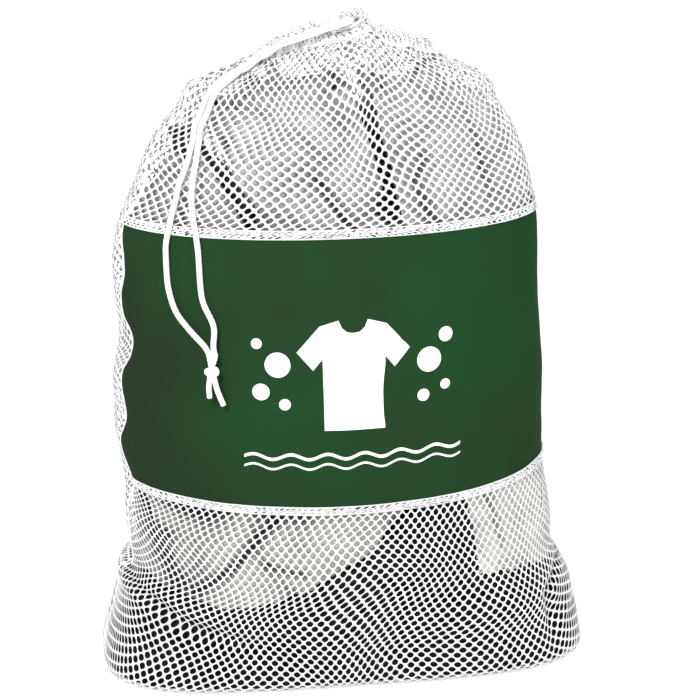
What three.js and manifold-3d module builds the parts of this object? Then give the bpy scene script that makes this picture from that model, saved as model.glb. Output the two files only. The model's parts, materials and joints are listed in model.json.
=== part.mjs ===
// Drawstring mesh laundry bag, filled with washing, drawn shut and standing on its base.
// Millimetres, +Z up, -Y is the front. The origin is the middle of the base, on the floor.
// The bag is a tube of white mesh with a woven panel sewn across its front, a bottom seam under
// the load, two side seams, and a hem casing at the mouth that holds one round drawcord. Both ends
// of the cord leave the mouth together, hang down the front and are tied in one knot.

import * as THREE from 'three';
import { mergeVertices } from 'three/addons/utils/BufferGeometryUtils.js';
import Module from 'manifold-3d';

const wasm = await Module();
wasm.setup();

// ---- Driving dimensions ---------------------------------------------------

const FABRIC = 2; // modelled thickness of mesh and panel, with its yarn loft
const SEAM_GAP = 0.6; // clearance between two pieces that are sewn together
const SEAM_HALF = 3.5; // half the thickness of a side or bottom seam allowance
const SEAM_DEPTH = 5; // how far a side seam allowance stands out
const BAND = 9; // height of the doubled mesh band along each panel edge
const BAND_LIFT = 0.8; // how far the band stands proud of the mesh

const PANEL_BOTTOM = 223; // height of the panel's lower edge on the filled bag
const PANEL_TOP = 513; // height of its upper edge
const HEM_FOOT = 684; // height where the mesh meets the hem casing

const CORD_RADIUS = 3;
const CORD_PITCH = 6.8; // centre distance of the two cord ends where they lie side by side
const CORD_CLEAR = 2.6; // clearance between cord and cloth

const CASING_WIDTH = 9.6; // across the casing, front to back
const CASING_HEIGHT = 18;
const CASING_BORE = 7.4; // tunnel the cord runs in
const CASING_END_DROP = 10; // the mouth's ends hang this much lower than its middle
const MOUTH_SHIFT = 18; // the mouth sits a little to the right
const MOUTH_HALF_WIDTH = 100;
const MOUTH_HALF_GAP = 20; // casing centre line to the mouth's middle, at the middle
const MOUTH_END_GAP = 16; // the same at the mouth's ends

const LOAD_INSET = 6; // washing to the outer face of the cloth
const LOAD_TOP = 674; // washing stops here, under the mouth

// Level sections of the filled bag: height, half width, half depth, corner power, shift to the right.
// A power of 2 is an ellipse; more is squarer.
const SECTIONS = [
  { z: 0, width: 250, depth: 122, power: 3.2, shift: 8 }, // edge of the flat base
  { z: 30, width: 272, depth: 145, power: 2.8, shift: 12 }, // corners swell out as ears
  { z: 75, width: 259, depth: 153, power: 2.5, shift: 11 },
  { z: 135, width: 243, depth: 155, power: 2.1, shift: 9 }, // pinch above the ears
  { z: PANEL_BOTTOM, width: 236, depth: 155, power: 2, shift: 2 },
  { z: 320, width: 240, depth: 152, power: 2, shift: -3 }, // belly
  { z: 420, width: 233, depth: 138, power: 2, shift: -4 },
  { z: PANEL_TOP, width: 226, depth: 107, power: 2, shift: -1 },
  { z: 590, width: 198, depth: 90, power: 2, shift: 4 }, // shoulder
  { z: 650, width: 158, depth: 68, power: 2, shift: 9 },
  { z: 674, width: 130, depth: 46, power: 2, shift: 14 }, // crown
  {
    z: HEM_FOOT + SEAM_GAP,
    width: MOUTH_HALF_WIDTH,
    depth: MOUTH_HALF_GAP,
    power: 2,
    shift: MOUTH_SHIFT,
  },
];

// ---- The bag's outer surface ----------------------------------------------

// Smooth value of one section property at height z.
function sectionValue(key, z) {
  const last = SECTIONS.length - 1;
  let i = 0;
  while (i < last - 1 && z > SECTIONS[i + 1].z) i += 1;
  const slope = (k) => {
    const a = SECTIONS[Math.max(k - 1, 0)];
    const b = SECTIONS[Math.min(k + 1, last)];
    return (b[key] - a[key]) / (b.z - a.z);
  };
  const [from, to] = [SECTIONS[i], SECTIONS[i + 1]];
  const span = to.z - from.z;
  const t = THREE.MathUtils.clamp((z - from.z) / span, 0, 1);
  const rise = t * t * (3 - 2 * t);
  const lead = t * (1 - t) * (1 - t) * span;
  const trail = t * t * (t - 1) * span;
  return from[key] + rise * (to[key] - from[key]) + lead * slope(i) + trail * slope(i + 1);
}

const signedPower = (value, power) => Math.sign(value) * Math.abs(value) ** power;

// The mouth's ends hang lower than its middle.
function mouthDrop(x, z) {
  const share = THREE.MathUtils.smoothstep(z, 640, HEM_FOOT);
  return share * CASING_END_DROP * ((x - MOUTH_SHIFT) / MOUTH_HALF_WIDTH) ** 2;
}

// Point of the surface at an angle seen from above: 0 right, 90 back, 180 left, 270 front.
function surfacePoint(degrees, z) {
  const angle = THREE.MathUtils.degToRad(degrees);
  const power = 2 / sectionValue('power', z);
  const width = sectionValue('width', z);
  const x = sectionValue('shift', z) + width * signedPower(Math.cos(angle), power);
  const y = sectionValue('depth', z) * signedPower(Math.sin(angle), power);
  return new THREE.Vector3(x, y, z - mouthDrop(x, z));
}

function surfaceNormal(degrees, z) {
  const step = 0.5;
  const around = surfacePoint(degrees + step, z).sub(surfacePoint(degrees - step, z));
  const low = Math.max(z - step, 0);
  const up = surfacePoint(degrees, Math.min(z + step, HEM_FOOT)).sub(surfacePoint(degrees, low));
  return around.cross(up).normalize();
}

// Moves a surface point out of the bag by lift (a negative lift is inside).
const lifted = (degrees, z, lift) =>
  surfacePoint(degrees, z).addScaledVector(surfaceNormal(degrees, z), lift);

// Angle away from a side seam at which the surface is `away` mm in front of or behind it.
function seamAngle(z, away) {
  const sine = (away / sectionValue('depth', z)) ** (sectionValue('power', z) / 2);
  return THREE.MathUtils.radToDeg(Math.asin(sine));
}

// ---- Building solids --------------------------------------------------------

function geometryFrom(points, triangles) {
  const geometry = new THREE.BufferGeometry();
  const flat = points.flatMap((p) => [p.x, p.y, p.z]);
  geometry.setAttribute('position', new THREE.Float32BufferAttribute(flat, 3));
  geometry.setIndex(triangles);
  return geometry;
}

// Six times the enclosed volume: negative when the faces point inwards.
function signedVolume(points, triangles) {
  let sum = 0;
  for (let i = 0; i < triangles.length; i += 3) {
    const [a, b, c] = [0, 1, 2].map((k) => points[triangles[i + k]]);
    sum += a.dot(b.clone().cross(c));
  }
  return sum;
}

function facingOut(points, triangles) {
  if (signedVolume(points, triangles) > 0) return geometryFrom(points, triangles);
  const flipped = [];
  for (let i = 0; i < triangles.length; i += 3) {
    flipped.push(triangles[i], triangles[i + 2], triangles[i + 1]);
  }
  return geometryFrom(points, flipped);
}

// Closed sheet between two grids of the same size, each an array of columns of points.
function sheetBetween(outer, inner) {
  const [columns, rows] = [outer.length, outer[0].length];
  const points = [...outer.flat(), ...inner.flat()];
  const at = (side, i, j) => side * columns * rows + i * rows + j;
  const triangles = [];
  const quad = (a, b, c, d) => triangles.push(a, b, c, a, c, d);
  for (let i = 0; i < columns - 1; i += 1) {
    for (let j = 0; j < rows - 1; j += 1) {
      quad(at(0, i, j), at(0, i + 1, j), at(0, i + 1, j + 1), at(0, i, j + 1));
      quad(at(1, i, j), at(1, i, j + 1), at(1, i + 1, j + 1), at(1, i + 1, j));
    }
    quad(at(0, i, 0), at(1, i, 0), at(1, i + 1, 0), at(0, i + 1, 0));
    const top = rows - 1;
    quad(at(0, i, top), at(0, i + 1, top), at(1, i + 1, top), at(1, i, top));
  }
  for (let j = 0; j < rows - 1; j += 1) {
    quad(at(0, 0, j), at(0, 0, j + 1), at(1, 0, j + 1), at(1, 0, j));
    const end = columns - 1;
    quad(at(0, end, j), at(1, end, j), at(1, end, j + 1), at(0, end, j + 1));
  }
  return facingOut(points, triangles);
}

// Closed loft through rings of equal length, with a fan over each end.
function loft(rings) {
  const count = rings[0].length;
  const points = rings.flat();
  const triangles = [];
  for (let r = 0; r < rings.length - 1; r += 1) {
    for (let k = 0; k < count; k += 1) {
      const [a, b] = [r * count + k, r * count + ((k + 1) % count)];
      triangles.push(a, b, b + count, a, b + count, a + count);
    }
  }
  const cap = (ring, first, flip) => {
    const middle = points.length;
    points.push(ring.reduce((s, p) => s.add(p), new THREE.Vector3()).divideScalar(count));
    for (let k = 0; k < count; k += 1) {
      const [a, b] = [first + k, first + ((k + 1) % count)];
      triangles.push(...(flip ? [middle, b, a] : [middle, a, b]));
    }
  };
  cap(rings[0], 0, true);
  cap(rings.at(-1), (rings.length - 1) * count, false);
  return facingOut(points, triangles);
}

const UP = new THREE.Vector3(0, 0, 1);

// Upright band along a curve: outline is a list of [across, up] offsets.
function bandAlong(curve, outline, steps) {
  const rings = [];
  for (let i = 0; i <= steps; i += 1) {
    const centre = curve.getPoint(i / steps);
    const across = UP.clone().cross(curve.getTangent(i / steps)).normalize();
    rings.push(
      outline.map(([side, up]) =>
        centre.clone().addScaledVector(across, side).addScaledVector(UP, up),
      ),
    );
  }
  return loft(rings);
}

function roundOutline(radius, count) {
  return Array.from({ length: count }, (_, k) => {
    const angle = (k / count) * 2 * Math.PI;
    return [radius * Math.cos(angle), radius * Math.sin(angle)];
  });
}

// Round cord along a curve.
function cordAlong(curve, steps) {
  const shape = new THREE.Shape(
    roundOutline(CORD_RADIUS, 8).map(([x, y]) => new THREE.Vector2(x, y)),
  );
  return new THREE.ExtrudeGeometry(shape, {
    steps,
    bevelEnabled: false,
    extrudePath: curve,
  });
}

function toSolid(geometry) {
  const bare = geometry.clone();
  bare.deleteAttribute('normal');
  bare.deleteAttribute('uv');
  const merged = mergeVertices(bare, 1e-4);
  return new wasm.Manifold(
    new wasm.Mesh({
      numProp: 3,
      vertProperties: new Float32Array(merged.attributes.position.array),
      triVerts: new Uint32Array(merged.index.array),
    }),
  );
}

function toGeometry(solid) {
  const mesh = solid.getMesh();
  const geometry = new THREE.BufferGeometry();
  geometry.setAttribute('position', new THREE.Float32BufferAttribute(mesh.vertProperties, 3));
  geometry.setIndex(Array.from(mesh.triVerts));
  return geometry;
}

function ballAt(centre, radius) {
  return new THREE.SphereGeometry(radius, 10, 8).translate(centre.x, centre.y, centre.z);
}

const smoothCurve = (points) => new THREE.CatmullRomCurve3(points, false, 'centripetal');

// ---- Materials --------------------------------------------------------------

const FINISHES = {
  mesh: { color: 0xf4f5f4, roughness: 0.75 },
  band: { color: 0xf8f9f8, roughness: 0.7 },
  panel: { color: 0x26502d, roughness: 0.6 },
  cord: { color: 0xfafafa, roughness: 0.65 },
  whiteTowel: { color: 0xcfcdc9, roughness: 0.95 },
  creamTowel: { color: 0xe2dfd0, roughness: 0.95 },
  darkCloth: { color: 0x34363a, roughness: 0.9 },
};

const bag = new THREE.Group();

function addPiece(name, geometry, finish) {
  geometry.computeVertexNormals();
  const material = new THREE.MeshStandardMaterial({ ...FINISHES[finish], metalness: 0 });
  const mesh = new THREE.Mesh(geometry, material);
  mesh.name = name;
  bag.add(mesh);
}

// ---- Cloth: mesh, panel and bands -------------------------------------------

const COLUMNS = 20; // facets across one half of the bag

// Angles of one half from seam to seam, at height z: side is 1 for the back and -1 for the front.
function halfAngles(side, z, away) {
  const edge = seamAngle(z, away);
  const start = side > 0 ? edge : 180 + edge;
  const sweep = 180 - 2 * edge;
  return Array.from({ length: COLUMNS + 1 }, (_, i) => start + (sweep * i) / COLUMNS);
}

const SEAM_EDGE = SEAM_HALF + SEAM_GAP; // cloth stops this far in front of or behind a side seam
const clearOfSeam = (point, side) => point.setY(side * Math.max(side * point.y, SEAM_EDGE));

// One half of a wall between the heights given, as columns of points at a lift off the surface.
function wallGrid(side, heights, lift) {
  const rows = heights.map((z) =>
    halfAngles(side, z, SEAM_EDGE).map((angle) => clearOfSeam(lifted(angle, z, lift), side)),
  );
  return rows[0].map((_, i) => rows.map((row) => row[i]));
}

// The cloth under the load: columns that run from the bottom seam out to the foot of the wall.
function floorGrid(side, height) {
  const shares = [0, 0.5];
  return halfAngles(side, 0, SEAM_EDGE).map((angle) => {
    const foot = surfacePoint(angle, 0);
    const near = side * (SEAM_HALF + SEAM_GAP / 2);
    return shares.map(
      (share) => new THREE.Vector3(foot.x, near + share * (foot.y - near), height),
    );
  });
}

function wallSheet(side, heights) {
  return sheetBetween(wallGrid(side, heights, 0), wallGrid(side, heights, -FABRIC));
}

function bottomedSheet(side, heights) {
  const join = (floor, wall) => floor.map((column, i) => [...column, ...wall[i]]);
  const outer = join(floorGrid(side, 0), wallGrid(side, [0, ...heights], 0));
  const inner = join(floorGrid(side, FABRIC), wallGrid(side, [0, ...heights], -FABRIC));
  inner.forEach((column, i) => {
    const foot = outer[i][2];
    column[2].set(foot.x, foot.y - side * FABRIC, FABRIC);
    clearOfSeam(column[2], side);
  });
  return sheetBetween(outer, inner);
}

const BAND_HALF = BAND / 2;
const LOWER_HEIGHTS = [10, 30, 75, 135, 180, PANEL_BOTTOM - BAND_HALF - SEAM_GAP];
const PANEL_HEIGHTS = [
  PANEL_BOTTOM + BAND_HALF + SEAM_GAP, 270, 320, 370, 420, 468, PANEL_TOP - BAND_HALF - SEAM_GAP,
];
const UPPER_HEIGHTS = [PANEL_TOP + BAND_HALF + SEAM_GAP, 550, 590, 622, 650, 664, 674, HEM_FOOT];
const BACK_HEIGHTS = [
  10, 30, 75, 135, 180, PANEL_BOTTOM, 270, 320, 370, 420, 468, PANEL_TOP, 550, 590, 622, 650, 664,
  674, HEM_FOOT,
];

addPiece('front_lower_mesh', bottomedSheet(-1, LOWER_HEIGHTS), 'mesh');
addPiece('front_panel', wallSheet(-1, PANEL_HEIGHTS), 'panel');
addPiece('front_upper_mesh', wallSheet(-1, UPPER_HEIGHTS), 'mesh');
addPiece('back_mesh', bottomedSheet(1, BACK_HEIGHTS), 'mesh');

// Doubled mesh band sewn over one edge of the panel.
function panelBand(z) {
  const heights = [z - BAND_HALF, z + BAND_HALF];
  return sheetBetween(wallGrid(-1, heights, BAND_LIFT), wallGrid(-1, heights, -FABRIC));
}

addPiece('panel_bottom_seam_band', panelBand(PANEL_BOTTOM), 'band');
addPiece('panel_top_seam_band', panelBand(PANEL_TOP), 'band');

// ---- Seam allowances ---------------------------------------------------------

// Ridge up one side: degrees is 180 for the left side and 0 for the right.
function sideSeam(degrees) {
  const heights = [0, ...BACK_HEIGHTS.slice(0, -1), HEM_FOOT - SEAM_GAP];
  const grid = (lift) =>
    heights.map((z) => {
      const edge = lifted(degrees, z, lift);
      edge.z = Math.max(edge.z, 0);
      return [-SEAM_HALF, SEAM_HALF].map((y) => new THREE.Vector3(edge.x, y, edge.z));
    });
  return sheetBetween(grid(SEAM_DEPTH), grid(-FABRIC));
}

addPiece('left_side_seam', sideSeam(180), 'band');
addPiece('right_side_seam', sideSeam(0), 'band');

function bottomSeam() {
  const [left, right] = [surfacePoint(180, 0).x, surfacePoint(0, 0).x];
  const inset = FABRIC + 4 * SEAM_GAP;
  const length = right - left - 2 * inset;
  const strip = new THREE.BoxGeometry(length, 2 * SEAM_HALF - SEAM_GAP, FABRIC);
  return strip.translate((left + right) / 2, 0, FABRIC / 2);
}

addPiece('bottom_seam', bottomSeam(), 'band');

// ---- Hem casing at the mouth -------------------------------------------------

const CASING_MIDDLE = HEM_FOOT + SEAM_GAP + CASING_HEIGHT / 2;
const CASING_STEPS = 14;

// Centre line of one half of the casing: side is -1 for the front and 1 for the back.
function casingCurve(side, reach = MOUTH_HALF_WIDTH) {
  const points = [];
  for (let i = 0; i <= 8; i += 1) {
    const share = (i / 8) * 2 - 1;
    const gap = MOUTH_END_GAP + (MOUTH_HALF_GAP - MOUTH_END_GAP) * (1 - share * share);
    const x = MOUTH_SHIFT + share * reach;
    points.push(new THREE.Vector3(x, side * gap, CASING_MIDDLE - mouthDrop(x, HEM_FOOT)));
  }
  return smoothCurve(points);
}

function casing(side) {
  const [w, h] = [CASING_WIDTH / 2, CASING_HEIGHT / 2];
  const corner = 2.5;
  const outline = [
    [w, -h + corner], [w, h - corner], [w - corner, h], [corner - w, h],
    [-w, h - corner], [-w, corner - h], [corner - w, -h], [w - corner, -h],
  ];
  const wall = toSolid(bandAlong(casingCurve(side), outline, CASING_STEPS));
  const tunnel = bandAlong(
    casingCurve(side, MOUTH_HALF_WIDTH + 2),
    roundOutline(CASING_BORE / 2, 8),
    CASING_STEPS,
  );
  return toGeometry(wall.subtract(toSolid(tunnel)));
}

const CASING_CORD_REACH = MOUTH_HALF_WIDTH - 2;

for (const [name, side] of [['front', -1], ['back', 1]]) {
  addPiece(`${name}_hem_casing`, casing(side), 'band');
  const run = casingCurve(side, CASING_CORD_REACH);
  addPiece(`${name}_casing_cord`, cordAlong(run, CASING_STEPS), 'cord');
}

// ---- Drawcord ------------------------------------------------------------------

const MOUTH_PIVOT = new THREE.Vector3(22, 0, 713); // cord bends over the mouth here
const SHOULDER = { angle: 219, z: 600 };
const HIP = { outer: 218.5, inner: 230, z: 497 };
const MEETING = { angle: 234.4, z: 400 }; // the two ends come together here, above the knot
const KNOT = { angle: 235.6, z: 385 };
const CORD_LIFT = CORD_RADIUS + CORD_CLEAR;
const HINGE_GAP = CORD_RADIUS + 0.5; // a cord stops this far short of the next one's hinge ball

// Level direction along the bag's face, from its left towards its right.
function levelAlong(degrees, z) {
  return UP.clone().cross(surfaceNormal(degrees, z)).normalize();
}

// The two cord ends lie side by side at this point of the face, half a pitch either way.
function besideEachOther(place, offset) {
  const along = levelAlong(place.angle, place.z);
  return lifted(place.angle, place.z, CORD_LIFT).addScaledVector(along, offset);
}

// One cord length with a hinge ball at its start, stopping short of the next hinge.
function cordLength(points, steps) {
  const curve = smoothCurve(points);
  const samples = curve.getSpacedPoints(steps);
  const last = samples.at(-1);
  const back = samples.at(-2).clone().sub(last).normalize();
  samples[samples.length - 1] = last.clone().addScaledVector(back, HINGE_GAP);
  const tube = toSolid(cordAlong(smoothCurve(samples), steps));
  return toGeometry(tube.add(toSolid(ballAt(points[0], CORD_RADIUS))));
}

const CORD_FOOT = LOAD_TOP + 6; // the cord ends come up from here inside the mouth
const MOUTH_ALONG = new THREE.Vector3(0.6, -0.8, 0); // hinge line over the mouth
const OVER_CASING = [[0, -25, 714], [-26, -34, 707], [-58, -32, 696]].map(
  (place) => new THREE.Vector3(...place),
);
const DOWN_DOME = [{ angle: 209, z: 672 }, { angle: 210.5, z: 654 }, { angle: 213, z: 634 }];

// Moves the inner points of a path sideways on the face it lies on; normals has one for each.
function besidePath(path, normals, offset) {
  return normals.map((normal, i) => {
    const forward = path[i + 2].clone().sub(path[i]);
    const sideways = normal.clone().cross(forward).normalize();
    return path[i + 1].clone().addScaledVector(sideways, offset);
  });
}

for (const [name, side] of [['outer', -1], ['inner', 1]]) {
  const half = (side * CORD_PITCH) / 2;
  const exit = MOUTH_PIVOT.clone().addScaledVector(MOUTH_ALONG, half);
  const foot = exit.clone().setZ(CORD_FOOT);
  const top = exit.clone().setZ(exit.z - CORD_RADIUS - 2);
  addPiece(`cord_mouth_${name}`, cordAlong(new THREE.LineCurve3(foot, top), 1), 'cord');

  const shoulder = besideEachOther(SHOULDER, half);
  const downDome = DOWN_DOME.map(({ angle, z }) => lifted(angle, z, CORD_LIFT));
  const middleLine = [MOUTH_PIVOT, ...OVER_CASING, ...downDome, besideEachOther(SHOULDER, 0)];
  const over = OVER_CASING.map(() => UP);
  const normals = [...over, ...DOWN_DOME.map(({ angle, z }) => surfaceNormal(angle, z))];
  const upper = [exit, ...besidePath(middleLine, normals, half), shoulder];
  addPiece(`cord_upper_${name}`, cordLength(upper, 18), 'cord');

  const hip = lifted(HIP[name], HIP.z, CORD_LIFT);
  const bow = lifted((SHOULDER.angle + HIP[name]) / 2, (SHOULDER.z + HIP.z) / 2, CORD_LIFT);
  addPiece(`cord_middle_${name}`, cordLength([shoulder, bow, hip], 8), 'cord');

  const meeting = besideEachOther(MEETING, half);
  const atKnot = besideEachOther(KNOT, half);
  const belly = {
    outer: [lifted(221, 448, CORD_LIFT), lifted(226, 420, CORD_LIFT)],
    inner: [lifted(232.3, 442, CORD_LIFT), lifted(235.8, 420, CORD_LIFT)],
  }[name];
  addPiece(`cord_lower_${name}`, cordLength([hip, ...belly, meeting, atKnot], 14), 'cord');
}

// ---- Knot and tails --------------------------------------------------------------

const KNOT_RADIUS = 8; // overhand knot of both cord ends
const knotHinge = lifted(KNOT.angle, KNOT.z, CORD_LIFT);
const KNOT_DROP = 3; // top of the knot under its hinge
const knotCentre = lifted(KNOT.angle, KNOT.z - KNOT_RADIUS - KNOT_DROP, KNOT_RADIUS + CORD_CLEAR);

// A ring of cord drawn tight round the two ends, with a ball of cord inside it.
function knot() {
  const along = levelAlong(KNOT.angle, KNOT.z);
  const ring = new THREE.TorusGeometry(KNOT_RADIUS - CORD_RADIUS, CORD_RADIUS, 8, 14);
  const lie = new THREE.Quaternion().setFromUnitVectors(UP, along);
  ring.applyQuaternion(lie).translate(knotCentre.x, knotCentre.y, knotCentre.z);
  const core = toSolid(ballAt(knotCentre, KNOT_RADIUS - 1.5));
  const loop = new THREE.TorusGeometry(KNOT_RADIUS - CORD_RADIUS, CORD_RADIUS, 8, 14);
  const lean = new THREE.Quaternion().setFromUnitVectors(UP, along.clone().setZ(2).normalize());
  loop.applyQuaternion(lean).translate(knotCentre.x, knotCentre.y, knotCentre.z);
  return toGeometry(core.add(toSolid(ring)).add(toSolid(loop)));
}

addPiece('cord_knot', knot(), 'cord');

// Cut end of the cord below the knot.
function tail(angle, drop, side) {
  const along = levelAlong(KNOT.angle, KNOT.z);
  const start = knotCentre.clone().addScaledVector(along, side * CORD_RADIUS * 1.3);
  start.z -= KNOT_RADIUS + CORD_RADIUS / 2;
  const end = lifted(angle, start.z - drop, CORD_LIFT + 0.5);
  const middle = start.clone().lerp(end, 0.5);
  return cordAlong(smoothCurve([start, middle, end]), 3);
}

addPiece('cord_tail_short', tail(234.6, 13, -1), 'cord');
addPiece('cord_tail_long', tail(239, 20, 1), 'cord');

// ---- Washing inside the bag --------------------------------------------------------

const WASHING_HEIGHTS = [12, 30, 75, 135, 223, 320, 420, 513, 590, 650, 664];

function washingBody() {
  const facets = 24;
  const ring = (z) =>
    Array.from({ length: facets }, (_, k) => lifted((k / facets) * 360 + 2, z, -LOAD_INSET));
  return toSolid(loft([...WASHING_HEIGHTS, LOAD_TOP].map(ring)));
}

const washing = washingBody();
const PACK_GAP = 1.5; // pieces of washing keep this far apart

// Front view outlines, in x and z, of how the washing is packed.
const SIDE = 320; // beyond the bag on either side
const [FLOOR, MIDDLE, WAIST] = [-10, 300, 505];
const swag = [[88, 232], [25, 165], [-60, 110], [-150, 95], [-SIDE, 125]];
const scoop = [[SIDE, 84], [236, 98], [205, 108], [168, 114], [147, 122], [141, 150], [124, 235]];
const raise = (points) => points.map(([x, z]) => [x, z + PACK_GAP]);

const PACKING = [
  ['dark_garment', 'darkCloth', [[-SIDE, FLOOR], [SIDE, FLOOR], ...scoop, [114, 250], ...swag]],
  ['cream_towel_left', 'creamTowel', [
    ...raise([...swag].reverse()), [108, MIDDLE], [-SIDE, MIDDLE],
  ]],
  ['cream_towel_right', 'creamTowel', [
    ...raise([...scoop].reverse()), [SIDE, MIDDLE], [136, MIDDLE],
  ]],
  ['white_towel_middle_left', 'whiteTowel', [
    [-SIDE, MIDDLE + PACK_GAP], [-1, MIDDLE + PACK_GAP], [-1, WAIST], [-SIDE, WAIST],
  ]],
  ['white_towel_middle_right', 'whiteTowel', [
    [1, MIDDLE + PACK_GAP], [SIDE, MIDDLE + PACK_GAP], [SIDE, WAIST], [1, WAIST],
  ]],
  ['white_towel_top_left', 'whiteTowel', [
    [-SIDE, WAIST + PACK_GAP], [-84, WAIST + PACK_GAP], [-166, 640], [-260, 720], [-SIDE, 720],
  ]],
  ['white_towel_top_middle', 'whiteTowel', [
    [-82, WAIST + PACK_GAP], [58, WAIST + PACK_GAP], [10, 720], [-258, 720], [-164, 640],
  ]],
  ['white_towel_top_right', 'whiteTowel', [
    [60, WAIST + PACK_GAP], [SIDE, WAIST + PACK_GAP], [SIDE, 720], [12, 720],
  ]],
];

// The share of the washing behind a front view outline.
function packed(outline) {
  const shape = new THREE.Shape(outline.map(([x, z]) => new THREE.Vector2(x, z)));
  const depth = 2 * SIDE;
  const prism = new THREE.ExtrudeGeometry(shape, { depth, bevelEnabled: false });
  prism.rotateX(Math.PI / 2).translate(0, SIDE, 0);
  return toGeometry(washing.intersect(toSolid(prism)));
}

for (const [name, finish, outline] of PACKING) {
  addPiece(name, packed(outline), finish);
}

export default bag;
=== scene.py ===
"""A mesh laundry bag, full and drawn shut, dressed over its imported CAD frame. Metres, +Z up, -Y is the front.

The cloth is one surface measured off the frame's own sheets. The open mesh is real geometry: a lattice of
round holes laid on that surface. The pleats under the mouth come from a short cloth simulation."""

import json
import math

import bpy
import numpy as np
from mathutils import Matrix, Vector, noise
from mathutils.bvhtree import BVHTree
from mathutils.geometry import delaunay_2d_cdt

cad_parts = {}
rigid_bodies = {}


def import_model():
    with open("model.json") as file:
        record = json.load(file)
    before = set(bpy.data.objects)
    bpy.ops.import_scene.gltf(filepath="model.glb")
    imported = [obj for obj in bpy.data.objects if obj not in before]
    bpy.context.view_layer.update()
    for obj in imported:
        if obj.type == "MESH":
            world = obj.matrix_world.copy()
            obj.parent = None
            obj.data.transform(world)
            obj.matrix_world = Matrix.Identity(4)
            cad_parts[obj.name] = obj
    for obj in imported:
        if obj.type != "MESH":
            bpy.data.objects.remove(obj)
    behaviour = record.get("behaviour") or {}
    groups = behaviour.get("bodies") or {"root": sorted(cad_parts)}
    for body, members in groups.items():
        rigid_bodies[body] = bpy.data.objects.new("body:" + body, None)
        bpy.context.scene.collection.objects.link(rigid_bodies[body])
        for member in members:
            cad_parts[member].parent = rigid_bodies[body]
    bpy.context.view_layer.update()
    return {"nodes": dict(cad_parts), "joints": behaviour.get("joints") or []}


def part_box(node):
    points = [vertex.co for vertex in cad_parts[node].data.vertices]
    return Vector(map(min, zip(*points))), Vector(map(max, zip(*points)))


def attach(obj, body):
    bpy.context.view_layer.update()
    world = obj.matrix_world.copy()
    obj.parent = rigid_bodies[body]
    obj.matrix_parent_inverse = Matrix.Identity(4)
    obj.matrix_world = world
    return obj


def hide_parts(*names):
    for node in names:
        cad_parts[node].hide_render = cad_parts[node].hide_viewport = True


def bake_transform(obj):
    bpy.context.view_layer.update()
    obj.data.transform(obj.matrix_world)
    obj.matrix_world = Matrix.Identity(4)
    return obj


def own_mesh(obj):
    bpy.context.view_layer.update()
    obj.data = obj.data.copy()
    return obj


for leftover in list(bpy.data.objects):
    bpy.data.objects.remove(leftover)
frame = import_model()
NODES = frame["nodes"]
JOINTS = {joint["name"]: joint for joint in frame["joints"]}
MM = 0.001
FRONT, BACK = -1, 1

# ---- Sizes read from the frame ----


def tree_of(*names):
    """Search tree over the faces of some CAD nodes."""
    points, faces = [], []
    for name in names:
        first = len(points)
        mesh = NODES[name].data
        points += [v.co.copy() for v in mesh.vertices]
        faces += [[first + i for i in p.vertices] for p in mesh.polygons]
    return BVHTree.FromPolygons(points, faces)


def middle_height(node):
    low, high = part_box(node)
    return (low.z + high.z) / 2


def pivot(joint):
    return np.array(JOINTS[joint]["pos_m"], float)


CLOTH_TREE = tree_of("front_lower_mesh", "front_panel", "front_upper_mesh", "back_mesh",
                     "panel_bottom_seam_band", "panel_top_seam_band")
SEAM_LOW = middle_height("panel_bottom_seam_band")
SEAM_HIGH = middle_height("panel_top_seam_band")
BESIDE_SEAM = 6 * MM  # a ray this far in front of a side seam still meets the cloth
SHOULDER_TOP = 640 * MM  # the cloth is measured up to here, and drawn in to the mouth above
CORD_RADIUS = (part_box("cord_mouth_outer")[1].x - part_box("cord_mouth_outer")[0].x) / 2

casing_low, casing_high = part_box("front_hem_casing")
MOUTH_X = (casing_low.x + casing_high.x) / 2
MOUTH_WIDTH = (casing_high.x - casing_low.x) / 2
MOUTH_DEPTH = -(casing_low.y + casing_high.y) / 2


CORNER_AT = 0.8  # share of the half width where the squareness of a corner is measured
POWER_RANGE = (1.6, 6.0)
HALVINGS = 40


def hit(origin, direction):
    return CLOTH_TREE.ray_cast(Vector(origin), Vector(direction))[0]


def measure_section(z):
    """Half width, half depth, corner power and sideways shift of the bag's outline at height z."""
    right = hit((1, -BESIDE_SEAM, z), (-1, 0, 0)).x
    left = hit((-1, -BESIDE_SEAM, z), (1, 0, 0)).x
    width, shift = (right - left) / 2, (right + left) / 2
    depth = -hit((shift, -1, z), (0, 1, 0)).y
    out = -hit((shift + CORNER_AT * width, -1, z), (0, 1, 0)).y / depth
    low, high = POWER_RANGE
    for _ in range(HALVINGS):
        power = (low + high) / 2
        if CORNER_AT**power + out**power > 1:
            low = power
        else:
            high = power
    return width, depth, power, shift


def smooth_rows(values, reach):
    """Running average of each column, with the ends held."""
    weights = np.hanning(2 * reach + 3)[1:-1]
    weights /= weights.sum()
    padded = np.concatenate([np.repeat(values[:1], reach, 0), values, np.repeat(values[-1:], reach, 0)])
    return np.stack([np.convolve(padded[:, k], weights, "valid") for k in range(values.shape[1])], 1)


# Heights where the frame's cloth is measured, closer together over the bulging foot.
MEASURED_Z = np.concatenate([np.linspace(1, 150, 9), np.linspace(185, SHOULDER_TOP / MM, 14)]) * MM
FINE_Z = np.arange(1 * MM, SHOULDER_TOP, 2 * MM)
measured = np.array([measure_section(z) for z in MEASURED_Z])
SECTION = smooth_rows(np.stack([np.interp(FINE_Z, MEASURED_Z, column) for column in measured.T], 1), 8)


SETTLE_HEIGHT = 45 * MM  # below this the load settles wider on the floor than the frame's smooth sheets
SETTLE_WIDTH = 24 * MM
SETTLE_DEPTH = 20 * MM
SETTLE_POWER = 0.7


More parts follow.
